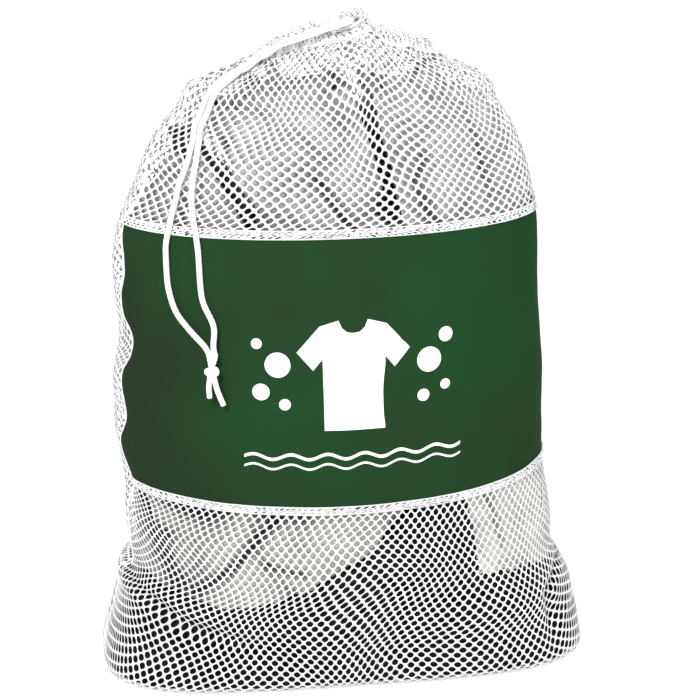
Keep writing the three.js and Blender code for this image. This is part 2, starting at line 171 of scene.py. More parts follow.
# The load folds over on itself above the foot. Both sides are pinched in there and swell out above the
# pinch, and on the left the fold stands out below it as an ear.
PINCH_HEIGHT = 118 * MM
PINCH_REACH = 14 * MM
PINCH_IN = 7 * MM
SWELL_HEIGHT = 172 * MM
SWELL_REACH = 28 * MM
SWELL_OUT = 4 * MM
EAR_HEIGHT = 102 * MM
EAR_REACH = 9 * MM
EAR_OUT = 8 * MM
# Above the swell the left edge hangs slack, in one long wave.
WAVE_TOP = 265 * MM
WAVE_LENGTH = 215 * MM
WAVE_OUT = 6 * MM
WAVE_FROM = 190 * MM
WAVE_TO = 570 * MM


def swell(z, height, reach):
    """Smooth swell that is 1 at `height` and fades over `reach`."""
    return np.exp(-(((z - height) / reach) ** 2))


def climb(values, start, length):
    """0 below `start`, 1 once `length` past it, in a straight line between."""
    return np.clip((values - start) / length, 0, 1)


def right_slack(z):
    """How far the cloth stands out from the frame's smooth right edge."""
    return SWELL_OUT * swell(z, SWELL_HEIGHT, SWELL_REACH) - PINCH_IN * swell(z, PINCH_HEIGHT, PINCH_REACH)


def left_slack(z):
    """The same for the left edge, with its ear and its long wave."""
    share = climb(z, WAVE_FROM, WAVE_TO - WAVE_FROM)
    wave = np.cos(2 * np.pi * (z - WAVE_TOP) / WAVE_LENGTH) * np.sin(np.pi * share) ** 0.5
    return right_slack(z) + EAR_OUT * swell(z, EAR_HEIGHT, EAR_REACH) + WAVE_OUT * wave


def section_at(z):
    """Half width, half depth, corner power and shift of the cloth, wider where it meets the floor."""
    width, depth, power, shift = [np.interp(z, FINE_Z, column) for column in SECTION.T]
    low = np.maximum(0, 1 - z / SETTLE_HEIGHT) ** 1.5
    left, right = left_slack(z), right_slack(z)
    width, shift = width + (left + right) / 2, shift + (right - left) / 2
    return width + SETTLE_WIDTH * low, depth + SETTLE_DEPTH * low, power + SETTLE_POWER * low, shift


# ---- Grids of cloth ----
# A grid holds points as [row, column]: rows run up the bag, columns from the left seam to the right.


def spread(points, count):
    """The same path with `count` points at equal steps along it."""
    steps = np.linalg.norm(np.diff(points, axis=0), axis=1)
    along = np.concatenate([[0], np.cumsum(steps)])
    wanted = np.linspace(0, along[-1], count)
    return np.stack([np.interp(wanted, along, points[:, k]) for k in range(points.shape[1])], 1)


# The left side seam lies on the front of the bag, furthest in at mid height, and wanders in and out.
SEAM_FROM = 90 * MM
SEAM_TO = 700 * MM
SEAM_IN = 9 * MM
SEAM_WANDER = 4.5 * MM
SEAM_WANDER_LENGTH = 82 * MM
SEAM_WANDER_TOP = 302 * MM
# The right side seam lies a little round the back: height, distance in from the right edge (mm).
RIGHT_SEAM = ((60, 0), (200, 1.5), (513, 1.5), (660, 0))


def left_seam_inset(z):
    share = climb(z, SEAM_FROM, SEAM_TO - SEAM_FROM)
    wander = np.cos(2 * np.pi * (z - SEAM_WANDER_TOP) / SEAM_WANDER_LENGTH)
    return np.sin(np.pi * share) * (SEAM_IN + SEAM_WANDER * wander)


OUTLINE_POINTS = 721  # half way round the bag


def halves(z):
    """Front and back halves of the bag's outline at height z, each from the left seam to the right."""
    width, depth, power, shift = section_at(z)
    angle = np.linspace(0, np.pi, OUTLINE_POINTS)
    cos, sin = np.cos(angle), np.sin(angle)
    x = shift - width * np.sign(cos) * np.abs(cos) ** (2 / power)
    y = depth * np.abs(sin) ** (2 / power)
    front, back = (np.stack([x, side * y, np.full_like(x, z)], 1) for side in (FRONT, BACK))
    inset = left_seam_inset(z)
    k = int(np.searchsorted(x, x[0] + inset))
    front, back = front[k:], np.concatenate([front[:k + 1][::-1][:-1], back])
    inset = np.interp(z / MM, *zip(*RIGHT_SEAM)) * MM
    k = len(back) - int(np.searchsorted(-x[::-1], -x[-1] + inset)) - 1
    front, back = np.concatenate([front, back[k:-1][::-1]]), back[:k + 1]
    return {FRONT: front, BACK: back}


def outline(z, side, columns):
    return spread(halves(z)[side], columns)


def spread_rows(grid, rows):
    """The same surface with rows at equal steps up each column."""
    return np.stack([spread(grid[:, k], rows) for k in range(grid.shape[1])], 1)


def wall_grid(side, low, high, rows, columns):
    raw = np.stack([outline(z, side, columns) for z in np.linspace(low, high, 4 * rows)])
    return spread_rows(raw, rows)


def floored_grid(side, high, rows, columns):
    """Cloth from the bottom seam, out under the load, and up the wall."""
    wall = np.stack([outline(z, side, columns) for z in np.linspace(0, high, 4 * rows)])
    foot = wall[0]
    floor = np.stack([foot * [1, share, 0] for share in np.linspace(0, 1, rows, endpoint=False)])
    grid = spread_rows(np.concatenate([floor, wall]), rows)
    for _ in range(4):
        grid[1:-1] = (grid[:-2] + 2 * grid[1:-1] + grid[2:]) / 4
    return grid


def unit(vectors):
    """The same vectors with length 1."""
    return vectors / np.maximum(np.linalg.norm(vectors, axis=-1, keepdims=True), 1e-9)


def grid_normals(grid, side):
    return unit(np.cross(np.gradient(grid, axis=1), np.gradient(grid, axis=0)) * -side)


def catmull(t):
    return np.stack([
        -t**3 + 2 * t**2 - t, 3 * t**3 - 5 * t**2 + 2, -3 * t**3 + 4 * t**2 + t, t**3 - t**2], -1) / 2


class Sheet:
    """Smooth cloth surface through a grid, read by shares u across and v up. side is FRONT or BACK."""

    def __init__(self, grid, side):
        self.grid, self.side = grid, side
        self.normals = grid_normals(grid, side)

    def _read(self, values, u, v):
        rows, columns = values.shape[:2]
        x, y = np.clip(u, 0, 1) * (columns - 1), np.clip(v, 0, 1) * (rows - 1)
        i, j = np.minimum(x.astype(int), columns - 2), np.minimum(y.astype(int), rows - 2)
        wx, wy = catmull(x - i), catmull(y - j)
        total = 0
        for a in range(4):
            for b in range(4):
                row = np.clip(j + b - 1, 0, rows - 1)
                column = np.clip(i + a - 1, 0, columns - 1)
                total = total + (wx[:, a] * wy[:, b])[:, None] * values[row, column]
        return total

    def at(self, u, v, lift=0.0):
        normals = unit(self._read(self.normals, u, v))
        return self._read(self.grid, u, v) + normals * np.broadcast_to(lift, u.shape)[:, None]


# ---- Meshes ----


def new_object(name, data):
    """An object in the scene."""
    made = bpy.data.objects.new(name, data)
    bpy.context.scene.collection.objects.link(made)
    return made


def mesh_object(name, points, faces):
    """A smooth-shaded object from an array of points and an array of triangles or quads."""
    mesh = bpy.data.meshes.new(name)
    mesh.vertices.add(len(points))
    mesh.vertices.foreach_set("co", np.asarray(points, np.float32).ravel())
    sides = faces.shape[1]
    mesh.loops.add(faces.size)
    mesh.loops.foreach_set("vertex_index", np.asarray(faces, np.int32).ravel())
    mesh.polygons.add(len(faces))
    mesh.polygons.foreach_set("loop_start", np.arange(0, faces.size, sides, dtype=np.int32))
    mesh.update(calc_edges=True)
    mesh.validate()
    mesh.polygons.foreach_set("use_smooth", np.ones(len(mesh.polygons), bool))
    return new_object(name, mesh)


def close_edges(top, count, shift):
    """Triangles that join the open border of a top layer to the layer `shift` further on."""
    edges = np.concatenate([top[:, [0, 1]], top[:, [1, 2]], top[:, [2, 0]]])
    edges = edges[(edges < count).all(1)]
    keys = np.sort(edges, 1) @ np.array([count, 1])
    _, first, uses = np.unique(keys, return_index=True, return_counts=True)
    a, b = edges[first[uses == 1]].T
    return np.concatenate([np.stack([b, a, a + shift], 1), np.stack([b, a + shift, b + shift], 1)])


HOLE_POINTS = 16  # points round a hole, a multiple of the 8 corners of its diamond
RIM_RISE = 0.35  # a hole's rim stands this share of the web's thickness above its middle
DRIFT = 0.011  # how far rows of holes wander across the sheet, as a share of it
DRIFT_RISE = 1.8  # how much further they wander up it
# Waves that make up the drift: height, turns across the sheet, turns up it, phase.
ACROSS_WAVES = ((1, 1.7, 1.3, 1.0), (0.6, 3.9, -1.1, 0.0))
UP_WAVES = ((1, 2.6, 0.7, 2.0), (0.5, 5.3, 1.2, 4.0))


def wander(u, v):
    """Slow in-plane drift of a sheet's threads, fading to nothing at its edges."""
    aside, upward = (
        sum(height * np.sin(2 * np.pi * (a * u + b * v) + phase) for height, a, b, phase in waves)
        for waves in (ACROSS_WAVES, UP_WAVES))
    calm = 16 * u * (1 - u) * v * (1 - v)
    return u + DRIFT * calm * aside, v + DRIFT_RISE * DRIFT * calm * upward


# Quarter-cell steps round the diamond that holds one hole.
DIAMOND = np.array([(2, 0), (1, 1), (0, 2), (-1, 1), (-2, 0), (-1, -1), (0, -2), (1, -1)])


def lattice_shape(sheet, columns, rows, hole, thickness, lift=0.0, ragged=0.0):
    """Points and faces of open mesh on a sheet: rows of round holes, every other row shifted by half a step.

    hole is the hole's width and height as shares of the step; ragged makes the holes uneven. The web between
    holes is nearly flat outside and rounded inside."""
    inside = [(4 * i + 2 * (k % 2), 2 * k) for k in range(2 * rows + 1) for i in range(columns + 1)]
    centres = np.array([c for c in inside if c[0] <= 4 * columns])
    on_border = ((centres[:, 0] == 0) | (centres[:, 0] == 4 * columns)
                 | (centres[:, 1] == 0) | (centres[:, 1] == 4 * rows))
    holed, plain = centres[~on_border], centres[on_border]

    def key(points):
        return points[..., 0] + points[..., 1] * (4 * columns + 1)

    rim_keys = key(holed[:, None] + DIAMOND[None])
    fan = []
    for centre in plain:
        ring = centre + DIAMOND
        kept = (ring >= 0).all(1) & (ring[:, 0] <= 4 * columns) & (ring[:, 1] <= 4 * rows)
        for k in range(8):
            following = (k + 1) % 8
            if kept[k] and kept[following]:
                fan.append([key(centre), key(ring[k]), key(ring[following])])
    fan = np.array(fan)
    keys, found = np.unique(np.concatenate([rim_keys.ravel(), fan.ravel()]), return_inverse=True)
    corner = found[:rim_keys.size].reshape(rim_keys.shape)
    fan = found[rim_keys.size:].reshape(fan.shape)
    count = len(keys)
    grid_u = (keys % (4 * columns + 1)) / (4 * columns)
    grid_v = (keys // (4 * columns + 1)) / (4 * rows)

    angle = np.arange(HOLE_POINTS) * 2 * np.pi / HOLE_POINTS
    chance = np.random.default_rng(columns)
    size = 1 - ragged * chance.random((len(holed), 1))
    room = np.clip(1.36 - 2 * max(hole) * size, 0, 0.5)
    moved = holed + ragged * room * chance.uniform(-1, 1, holed.shape)
    ring_u = (moved[:, 0, None] + 2 * hole[0] * size * np.cos(angle)) / (4 * columns)
    ring_v = (moved[:, 1, None] + 2 * hole[1] * size * np.sin(angle)) / (4 * rows)
    grid_u, grid_v = wander(grid_u, grid_v)
    ring_u, ring_v = wander(ring_u, ring_v)
    top = sheet.at(grid_u, grid_v, lift + thickness / 2)
    bottom = sheet.at(grid_u, grid_v, lift - thickness / 2)
    rim = sheet.at(ring_u.ravel(), ring_v.ravel(), lift + RIM_RISE * thickness)
    ring = 2 * count + np.arange(rim.shape[0]).reshape(ring_u.shape)

    per = HOLE_POINTS // 8
    faces = []
    for k in range(8):
        here, there = corner[:, k], corner[:, (k + 1) % 8]
        around = [ring[:, (per * k + j) % HOLE_POINTS] for j in range(per + 1)]
        half = (per + 1) // 2
        for j in range(half):
            faces.append(np.stack([here, around[j + 1], around[j]], 1))
        faces.append(np.stack([here, there, around[half]], 1))
        for j in range(half, per):
            faces.append(np.stack([there, around[j + 1], around[j]], 1))
    top_faces = np.concatenate(faces + [fan])
    under = np.where(top_faces < count, top_faces + count, top_faces)[:, ::-1]
    walls = close_edges(top_faces, count, count)
    faces = np.concatenate([top_faces, under, walls])
    if sheet.side == BACK:
        faces = faces[:, ::-1]
    return np.concatenate([top, bottom, rim]), faces


def lattice(name, *shape, **more):
    return mesh_object(name, *lattice_shape(*shape, **more))


def some_faces(points, faces, chosen):
    """The chosen faces, with only the points they use."""
    used, renumbered = np.unique(faces[chosen], return_inverse=True)
    return points[used], renumbered.reshape(-1, 3)


def quads(rows, columns, wrap=False):
    """Faces of a grid of points numbered row by row."""
    across = columns if wrap else columns - 1
    r, c = np.meshgrid(np.arange(rows - 1), np.arange(across), indexing="ij")
    a, b = r * columns + c, r * columns + (c + 1) % columns
    return np.stack([a, b, b + columns, a + columns], -1).reshape(-1, 4)


def solid_sheet(name, sheet, columns, rows, thickness):
    """Closed sheet of plain cloth: outer layer, inner layer and edges."""
    u, v = np.meshgrid(np.linspace(0, 1, columns), np.linspace(0, 1, rows))
    outer, inner = (sheet.at(u.ravel(), v.ravel(), side * thickness / 2) for side in (1, -1))
    face = quads(rows, columns)
    count = rows * columns
    border = np.concatenate([np.arange(columns), np.arange(1, rows) * columns + columns - 1,
                             np.arange(columns - 2, -1, -1) + (rows - 1) * columns,
                             np.arange(rows - 2, 0, -1) * columns])
    after = np.roll(border, -1)
    edge = np.stack([after, border, border + count, after + count], 1)
    faces = np.concatenate([face, face[:, ::-1] + count, edge])
    if sheet.side == BACK:
        faces = faces[:, ::-1]
    return mesh_object(name, np.concatenate([outer, inner]), faces)


# ---- Curves and cords ----


def smooth_path(points, spacing):
    """Catmull-Rom path through points, sampled at about equal steps."""
    points = np.asarray(points, float)
    padded = np.concatenate([[2 * points[0] - points[1]], points, [2 * points[-1] - points[-2]]])
    t = np.linspace(0, 1, 24, endpoint=False)
    weights = catmull(t)
    runs = [weights @ padded[i:i + 4] for i in range(len(points) - 1)]
    path = np.concatenate(runs + [points[-1:]])
    length = np.linalg.norm(np.diff(path, axis=0), axis=1).sum()
    return spread(path, max(4, int(length / spacing) + 1))


def frames_along(path):
    """Unit tangent and two normals at each point, carried along without twisting."""
    tangent = unit(np.gradient(path, axis=0))
    start = np.cross(tangent[0], [0.13, 0.31, 0.94])
    normals = [start / np.linalg.norm(start)]
    for t in tangent[1:]:
        n = normals[-1] - t * (normals[-1] @ t)
        normals.append(n / np.linalg.norm(n))
    normals = np.array(normals)
    return tangent, normals, np.cross(tangent, normals)


PLAIT_LENGTH = 9 * MM  # one turn of a braid's strands


def tube(name, path, radius, around=14, braid=0.0, start=0.0):
    """Closed round tube. braid raises two crossing sets of plaited strands on its surface."""
    _, first, second = frames_along(path)
    steps = np.linalg.norm(np.diff(path, axis=0), axis=1)
    along = start + np.concatenate([[0], np.cumsum(steps)])
    angle = np.arange(around) * 2 * np.pi / around
    turn = 2 * np.pi * along[:, None] / PLAIT_LENGTH
    plait = np.abs(np.sin(2 * angle + turn)) + np.abs(np.sin(2 * angle - turn)) - 1.2
    reach = (np.broadcast_to(radius, along.shape)[:, None] + braid * plait)[..., None]
    circle = first[:, None] * np.cos(angle)[:, None] + second[:, None] * np.sin(angle)[:, None]
    points = (path[:, None] + circle * reach).reshape(-1, 3)
    body = quads(len(path), around, wrap=True)
    ends = np.array([path[0], path[-1]])
    first_cap = [[len(points), (k + 1) % around, k] for k in range(around)]
    last = (len(path) - 1) * around
    last_cap = [[len(points) + 1, last + k, last + (k + 1) % around] for k in range(around)]
    tris = np.concatenate([body[:, [0, 1, 2]], body[:, [0, 2, 3]], first_cap, last_cap])
    return mesh_object(name, np.concatenate([points, ends]), tris)


# ---- Materials ----


def new_material(name, color, roughness):
    material = bpy.data.materials.new(name)
    material.use_nodes = True
    tree = material.node_tree
    shader = tree.nodes["Principled BSDF"]
    shader.inputs["Base Color"].default_value = (*color, 1)
    shader.inputs["Roughness"].default_value = roughness
    return material, tree, shader


def add(tree, kind, **values):
    node = tree.nodes.new(kind)
    for key, value in values.items():
        if key in node.inputs:
            node.inputs[key].default_value = value
        else:
            setattr(node, key, value)
    return node


def wire(tree, source, output, target, socket):
    tree.links.new(source.outputs[output], target.inputs[socket])


def noise_tint(tree, shader, scale, dark, light, detail=4.0):
    """Colour that drifts between two tones over the surface."""
    coords = add(tree, "ShaderNodeTexCoord")
    blotch = add(tree, "ShaderNodeTexNoise", Scale=scale, Detail=detail)
    ramp = add(tree, "ShaderNodeValToRGB")
    ramp.color_ramp.elements[0].position = 0.3
    ramp.color_ramp.elements[0].color = (*dark, 1)
    ramp.color_ramp.elements[1].position = 0.7
    ramp.color_ramp.elements[1].color = (*light, 1)
    wire(tree, coords, "Object", blotch, "Vector")
    wire(tree, blotch, "Fac", ramp, "Fac")
    wire(tree, ramp, "Color", shader, "Base Color")
    return coords


def bump(tree, shader, height, strength, distance):
    node = add(tree, "ShaderNodeBump", Strength=strength, Distance=distance)
    tree.links.new(height, node.inputs["Height"])
    wire(tree, node, "Normal", shader, "Normal")


def textured_bump(tree, shader, coords, kind, output, strength, distance, **values):
    """Bump from a texture laid over the object."""
    texture = add(tree, kind, **values)
    wire(tree, coords, "Object", texture, "Vector")
    bump(tree, shader, texture.outputs[output], strength, distance)


def mesh_material():
    """Knitted white polyester: fine crossing yarns with a soft sheen."""
    material, tree, shader = new_material("mesh_yarn", (0.78, 0.79, 0.79), 0.7)
    coords = noise_tint(tree, shader, 45, (0.66, 0.67, 0.68), (0.83, 0.83, 0.83))
    textured_bump(tree, shader, coords, "ShaderNodeTexWave", "Fac", 0.35, 0.4 * MM, Scale=420, Distortion=6)
    shader.inputs["Sheen Weight"].default_value = 0.2
    return material


PANEL_SHADE_FROM, PANEL_SHADE_TO = -0.24, -0.04  # painted fold shade: the panel is painted darkest left of the first, lightest right of the second
PANEL_SHADE_SHIFT = 0.16
THREAD_PITCH = 0.9 * MM


def shade_left_side(tree, split):
    """Painted shade: shift the panel's blotches towards the dark tone on its left, where its folds lie in
    shadow.
    """
    blotch = next(node for node in tree.nodes if node.type == "TEX_NOISE")
    ramp = next(node for node in tree.nodes if node.type == "VALTORGB")
    limits = {"From Min": PANEL_SHADE_FROM, "From Max": PANEL_SHADE_TO, "To Min": -PANEL_SHADE_SHIFT, "To Max": PANEL_SHADE_SHIFT}
    slope = add(tree, "ShaderNodeMapRange", clamp=True, **limits)
    total = add(tree, "ShaderNodeMath", operation="ADD")
    wire(tree, split, "X", slope, "Value")
    wire(tree, blotch, "Fac", total, 0)
    wire(tree, slope, "Result", total, 1)
    wire(tree, total, 0, ramp, "Fac")


def panel_material():
    """Dark green plain weave: warp and weft threads, a low sheen and faint blotches of painted fold shade,
    deepest on the left.
    """
    material, tree, shader = new_material("panel_weave", (0.013, 0.055, 0.018), 0.75)
    shader.inputs["Specular IOR Level"].default_value = 0.02
    # blotches between a painted shade tone and a lit tone, for the panel's soft folds
    coords = noise_tint(tree, shader, 6, (0.0165, 0.028, 0.0145), (0.0108, 0.046, 0.0152), detail=2)
    split = add(tree, "ShaderNodeSeparateXYZ")
    wire(tree, coords, "Object", split, "Vector")
    # painted shade, heaviest on the panel's left
    shade_left_side(tree, split)
    threads = []
    for axis in ("X", "Z"):
        scaled = add(tree, "ShaderNodeMath", operation="MULTIPLY")
        scaled.inputs[1].default_value = 2 * math.pi / THREAD_PITCH
        sine = add(tree, "ShaderNodeMath", operation="SINE")
        wire(tree, split, axis, scaled, 0)
        wire(tree, scaled, 0, sine, 0)
        threads.append(sine.outputs[0])
    weave = add(tree, "ShaderNodeMath", operation="MULTIPLY")
    tree.links.new(threads[0], weave.inputs[0])
    tree.links.new(threads[1], weave.inputs[1])
    bump(tree, shader, weave.outputs[0], 0.25, 0.2 * MM)
    return material


def print_material():
    """White ink, slightly uneven where it lies on the weave."""
    material, tree, shader = new_material("print_ink", (0.88, 0.89, 0.88), 0.6)
    coords = noise_tint(tree, shader, 400, (0.80, 0.82, 0.80), (0.9, 0.9, 0.9))
    textured_bump(tree, shader, coords, "ShaderNodeTexNoise", "Fac", 0.2, 0.2 * MM, Scale=1100, Detail=1)
    return material


def cord_material():
    """Braided white polyester: fine fibres over the plait, which is in the mesh."""
    material, tree, shader = new_material("cord_braid", (0.9, 0.9, 0.9), 0.5)
    coords = noise_tint(tree, shader, 60, (0.84, 0.84, 0.84), (0.93, 0.93, 0.93))
    textured_bump(tree, shader, coords, "ShaderNodeTexNoise", "Fac", 0.3, 0.2 * MM, Scale=1500, Detail=2)
    return material


def paint_fold_shade(tree, shader, tone):
    """Painted shade: take the base colour towards a deep tone wherever the fold attribute is high."""
    fold = add(tree, "ShaderNodeAttribute", attribute_name="fold")
    mix = add(tree, "ShaderNodeMixRGB")
    mix.inputs["Color2"].default_value = (*tone, 1)
    tree.links.new(shader.inputs["Base Color"].links[0].from_socket, mix.inputs["Color1"])
    wire(tree, fold, "Fac", mix, "Fac")
    wire(tree, mix, "Color", shader, "Base Color")


def towel_material(name, dark, light):
    """Terry: soft loops as fine bumps, with slow tonal drift and painted shade in its deep folds."""
    material, tree, shader = new_material(name, light, 0.95)
    coords = noise_tint(tree, shader, 22, dark, light)
    # the deep tone is painted shade in the towel's folds and creases
    paint_fold_shade(tree, shader, [0.04 * value for value in light])
    textured_bump(tree, shader, coords, "ShaderNodeTexVoronoi", "Distance", 0.7, 1 * MM, Scale=520)
    shader.inputs["Sheen Weight"].default_value = 0.05
    shader.inputs["Specular IOR Level"].default_value = 0.08
    return material


MESH = mesh_material()
PANEL = panel_material()
CORD = cord_material()
PRINT = print_material()
# the white terry's grey tones are partly painted shade, for the shadow the towels lie in inside the bag
WHITE_TOWEL = towel_material("white_terry", (0.30, 0.29, 0.285), (0.58, 0.56, 0.545))
CREAM_TOWEL = towel_material("cream_terry", (0.46, 0.45, 0.40), (0.76, 0.74, 0.67))
DARK_CLOTH = towel_material("dark_knit", (0.003, 0.003, 0.0035), (0.014, 0.014, 0.015))


def dress(piece, material, slot, body, *nodes):
    piece.data.materials.clear()
    piece.data.materials.append(material)
    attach(piece, body)
    if nodes:
        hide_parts(*nodes)
    return piece


# ---- Folds and relief ----


def distance_to_line(points, line):
    """Distance in the x-z plane from points (m) to a polyline (mm), and the share along it."""
    line = np.array(line, float) * MM
    flat = points[:, [0, 2]]
    best = np.full(len(flat), 1e9)
    share = np.zeros(len(flat))
    count = len(line) - 1
    for k in range(count):
        a, step = line[k], line[k + 1] - line[k]
        t = np.clip(((flat - a) @ step) / (step @ step), 0, 1)
        gap = np.linalg.norm(flat - a - t[:, None] * step, axis=1)
        share = np.where(gap < best, (k + t) / count, share)
        best = np.minimum(best, gap)
    return best, share


def ripple(points, reach, seed, stretch=(1, 1, 1)):
    """Smooth noise from -1 to 1 over points, with features about `reach` wide."""
    scaled = points / reach / np.array(stretch)
    offset = Vector((seed * 7.31, seed * 3.17, seed * 1.93))
    return np.array([noise.noise(Vector(p) + offset) for p in scaled]) * 1.6


# Folds of each half: height out of the cloth (mm, minus for a groove), half width (mm), line (x, z in mm).
FOLDS = {
    FRONT: (
        (5.0, 5, ((-60, 690), (-85, 650), (-70, 635))),
        (4.0, 6, ((-100, 655), (-115, 560))),
        (3.0, 6, ((-25, 670), (0, 580))),
        (3.0, 5, ((50, 695), (75, 640))),
        (3.0, 7, ((110, 680), (150, 600))),
        (-9.0, 8, ((-250, 120), (-185, 80), (-100, 60))),
        (4.0, 9, ((-245, 100), (-130, 40))),
        (-7.0, 7, ((270, 110), (235, 80), (240, 25))),
        (3.5, 8, ((275, 80), (250, 35))),
        (2.6, 6, ((-220, 210), (-180, 160))),
        (2.5, 7, ((-240, 80), (-170, 25))),
        (2.2, 7, ((-200, 60), (-120, 10))),
        (2.2, 7, ((220, 200), (245, 120)))),
    BACK: (
        (-5.0, 9, ((-245, 120), (-150, 90))),
        (-4.0, 8, ((260, 110), (170, 90))),
        (3.0, 8, ((20, 690), (-15, 560))),
        (3.0, 8, ((120, 680), (150, 560)))),
}
SOFT_UNEVEN = 1.3 * MM  # height of the broad unevenness of the cloth
FINE_UNEVEN = 0.5 * MM
CRUMPLE = 2.6 * MM  # height of the crumples along the slack left edge
# Where the crumples begin, to the left, upwards and downwards, and over which length they come in (m).
CRUMPLE_LEFT = (0.195, 0.03)
CRUMPLE_ABOVE = (0.16, 0.06)
CRUMPLE_BELOW = (-0.56, 0.05)
CORD_GAP = 0.9 * MM  # cloth to the underside of the hanging cord
CORD_NEAR = 30 * MM  # cloth further than this from the cord, in or out, is left alone
PRESS_REACH = 12 * MM  # width over which the cord's press fades sideways, and the deepest it goes
PRESS_EDGE = 1.6  # the press has faded out this many times PRESS_REACH from the cord
CORD_SPACING = 7 * MM  # between the points read off a CAD cord


def relief(grid, side, loose=1.0):
    """Folds, soft unevenness and the crumpled left edge, added to a grid of cloth."""
    points = grid.reshape(-1, 3)
    x, z = points[:, 0], points[:, 2]
    rise = loose * (SOFT_UNEVEN * ripple(points, 0.07, 1) + FINE_UNEVEN * ripple(points, 0.028, 2))
    for height, reach, line in FOLDS[side]:
        gap, share = distance_to_line(points, line)
        fade = np.sin(np.pi * (0.12 + 0.76 * share))
        rise += height * MM * fade * np.exp(-((gap / (reach * MM)) ** 2))
    slack = climb(-x, *CRUMPLE_LEFT) * climb(z, *CRUMPLE_ABOVE) * climb(-z, *CRUMPLE_BELOW)
    rise += slack * CRUMPLE * ripple(points, 0.026, 5, (1, 1, 1.9))
    off_floor = climb(z, 0, 12 * MM)
    return grid + grid_normals(grid, side) * (rise * off_floor).reshape(grid.shape[:2])[..., None]


def centreline(node, axis):
    """Middle of a CAD cord, sliced across one axis; runs from high to low along that axis."""
    points = np.array([v.co for v in NODES[node].data.vertices])
    low, high = points[:, axis].min(), points[:, axis].max()
    edges = np.linspace(high, low, max(3, int((high - low) / CORD_SPACING)) + 1)
    slices = [points[(points[:, axis] <= a) & (points[:, axis] >= b)] for a, b in zip(edges, edges[1:])]
    return np.array([(s.min(0) + s.max(0)) / 2 for s in slices if len(s)])


STRANDS = {}
for strand in ("outer", "inner"):
    runs = [centreline("cord_upper_" + strand, 0), centreline("cord_middle_" + strand, 2),
            centreline("cord_lower_" + strand, 2)]
    STRANDS[strand] = smooth_rows(smooth_path(np.concatenate(runs), 2 * MM), 7)
CORD_POINTS = np.concatenate(list(STRANDS.values()))


def press_under_cord(grid, side):
    """Push the cloth in wherever it would stand above the underside of the hanging cord."""
    if side == BACK:
        return grid
    normals = grid_normals(grid, side).reshape(-1, 3)
    points = grid.reshape(-1, 3).copy()
    for k in range(0, len(points), 400):
        block, normal = points[k:k + 400], normals[k:k + 400]
        to_cord = CORD_POINTS[None] - block[:, None]
        out = (to_cord * normal[:, None]).sum(2)
        aside = np.linalg.norm(to_cord - out[..., None] * normal[:, None], axis=2)
        fade = np.clip(PRESS_EDGE - aside / PRESS_REACH, 0, 1)
        need = np.where(np.abs(out) < CORD_NEAR, (CORD_RADIUS + CORD_GAP - out) * fade, 0).max(1)
        block -= normal * np.clip(need, 0, PRESS_REACH)[:, None]
    return points.reshape(grid.shape)


# ---- The cloth surface of each piece ----

HALF_COLUMNS = 97
YARN = 1.0 * MM  # thickness of the mesh's webs
HEM_DEPTH = 7 * MM  # height of the doubled hem above the crown's last row
MESH_STEP = 12.6 * MM  # from one hole to the next along a row
ROW_STEP = 11.6 * MM  # from one row to the row after next
OPEN_HOLE = (0.54, 0.54)  # width and height of a hole against the steps
DRAWN_HOLE = (0.62, 0.55)  # the same low on the bag, where the mesh is drawn together sideways
CROWN_SPREAD = 0.84  # columns of holes over the crown against the panel's width
BASE_SPREAD = 1.32  # the same under the panel
CROWN_ROWS = 44
MOUTH_SPAN = MOUTH_WIDTH - 12 * MM  # half width of the drawn mouth
MOUTH_MIDDLE = MOUTH_X - 4 * MM
MOUTH_GAP = 0.9 * MOUTH_DEPTH  # half width of its opening, pleats apart
MOUTH_TOP = 712 * MM  # top edge of the hem at its middle
MOUTH_FALL = 26 * MM  # how much lower it is at the two ends
TUFT_X = 28 * MM  # the cloth bunched up where the cord leaves the hem
TUFT_RISE = 17 * MM
TUFT_REACH = 11 * MM
HEM_HALF = 3.4 * MM  # half thickness of the doubled hem, with the cord inside it
FULLNESS = 0.75  # how far the crown carries on upwards before it turns in


def mouth_ring(side, columns):
    """Gathered edge of one half at the mouth."""
    angle = np.linspace(0, np.pi, columns)
    x = MOUTH_MIDDLE - MOUTH_SPAN * np.cos(angle)
    y = side * MOUTH_GAP * np.sin(angle)
    arch = MOUTH_TOP - MOUTH_FALL * np.cos(angle) ** 2
    z = arch + TUFT_RISE * swell(x, TUFT_X, TUFT_REACH) - HEM_DEPTH - (2 + side) * 2 * MM
    z = np.convolve(np.pad(z, 4, "edge"), np.ones(9) / 9, "valid")
    return np.stack([x, y, z], 1)


def crown_grid(side, rows, columns):
    """Cloth from the panel's upper seam, over the shoulder and in to the mouth."""
    wall = np.stack([outline(z, side, columns) for z in np.linspace(SEAM_HIGH, SHOULDER_TOP, 3 * rows)])
    start, end = wall[-1], mouth_ring(side, columns)
    slope = unit(wall[-1] - wall[-2])
    reach = np.linalg.norm(end - start, axis=1, keepdims=True)
    inward = unit((end - start) * [1, 1, 0.5])
    t = np.linspace(0, 1, 2 * rows)[1:, None, None]
    rise = t * t * (3 - 2 * t)
    swing = FULLNESS * t * (1 - t) ** 2 * slope + t * t * (t - 1) * inward
    crown = start + rise * (end - start) + reach * swing
    return spread_rows(np.concatenate([wall, crown]), rows)


# ---- The crown, gathered by a cloth simulation ----

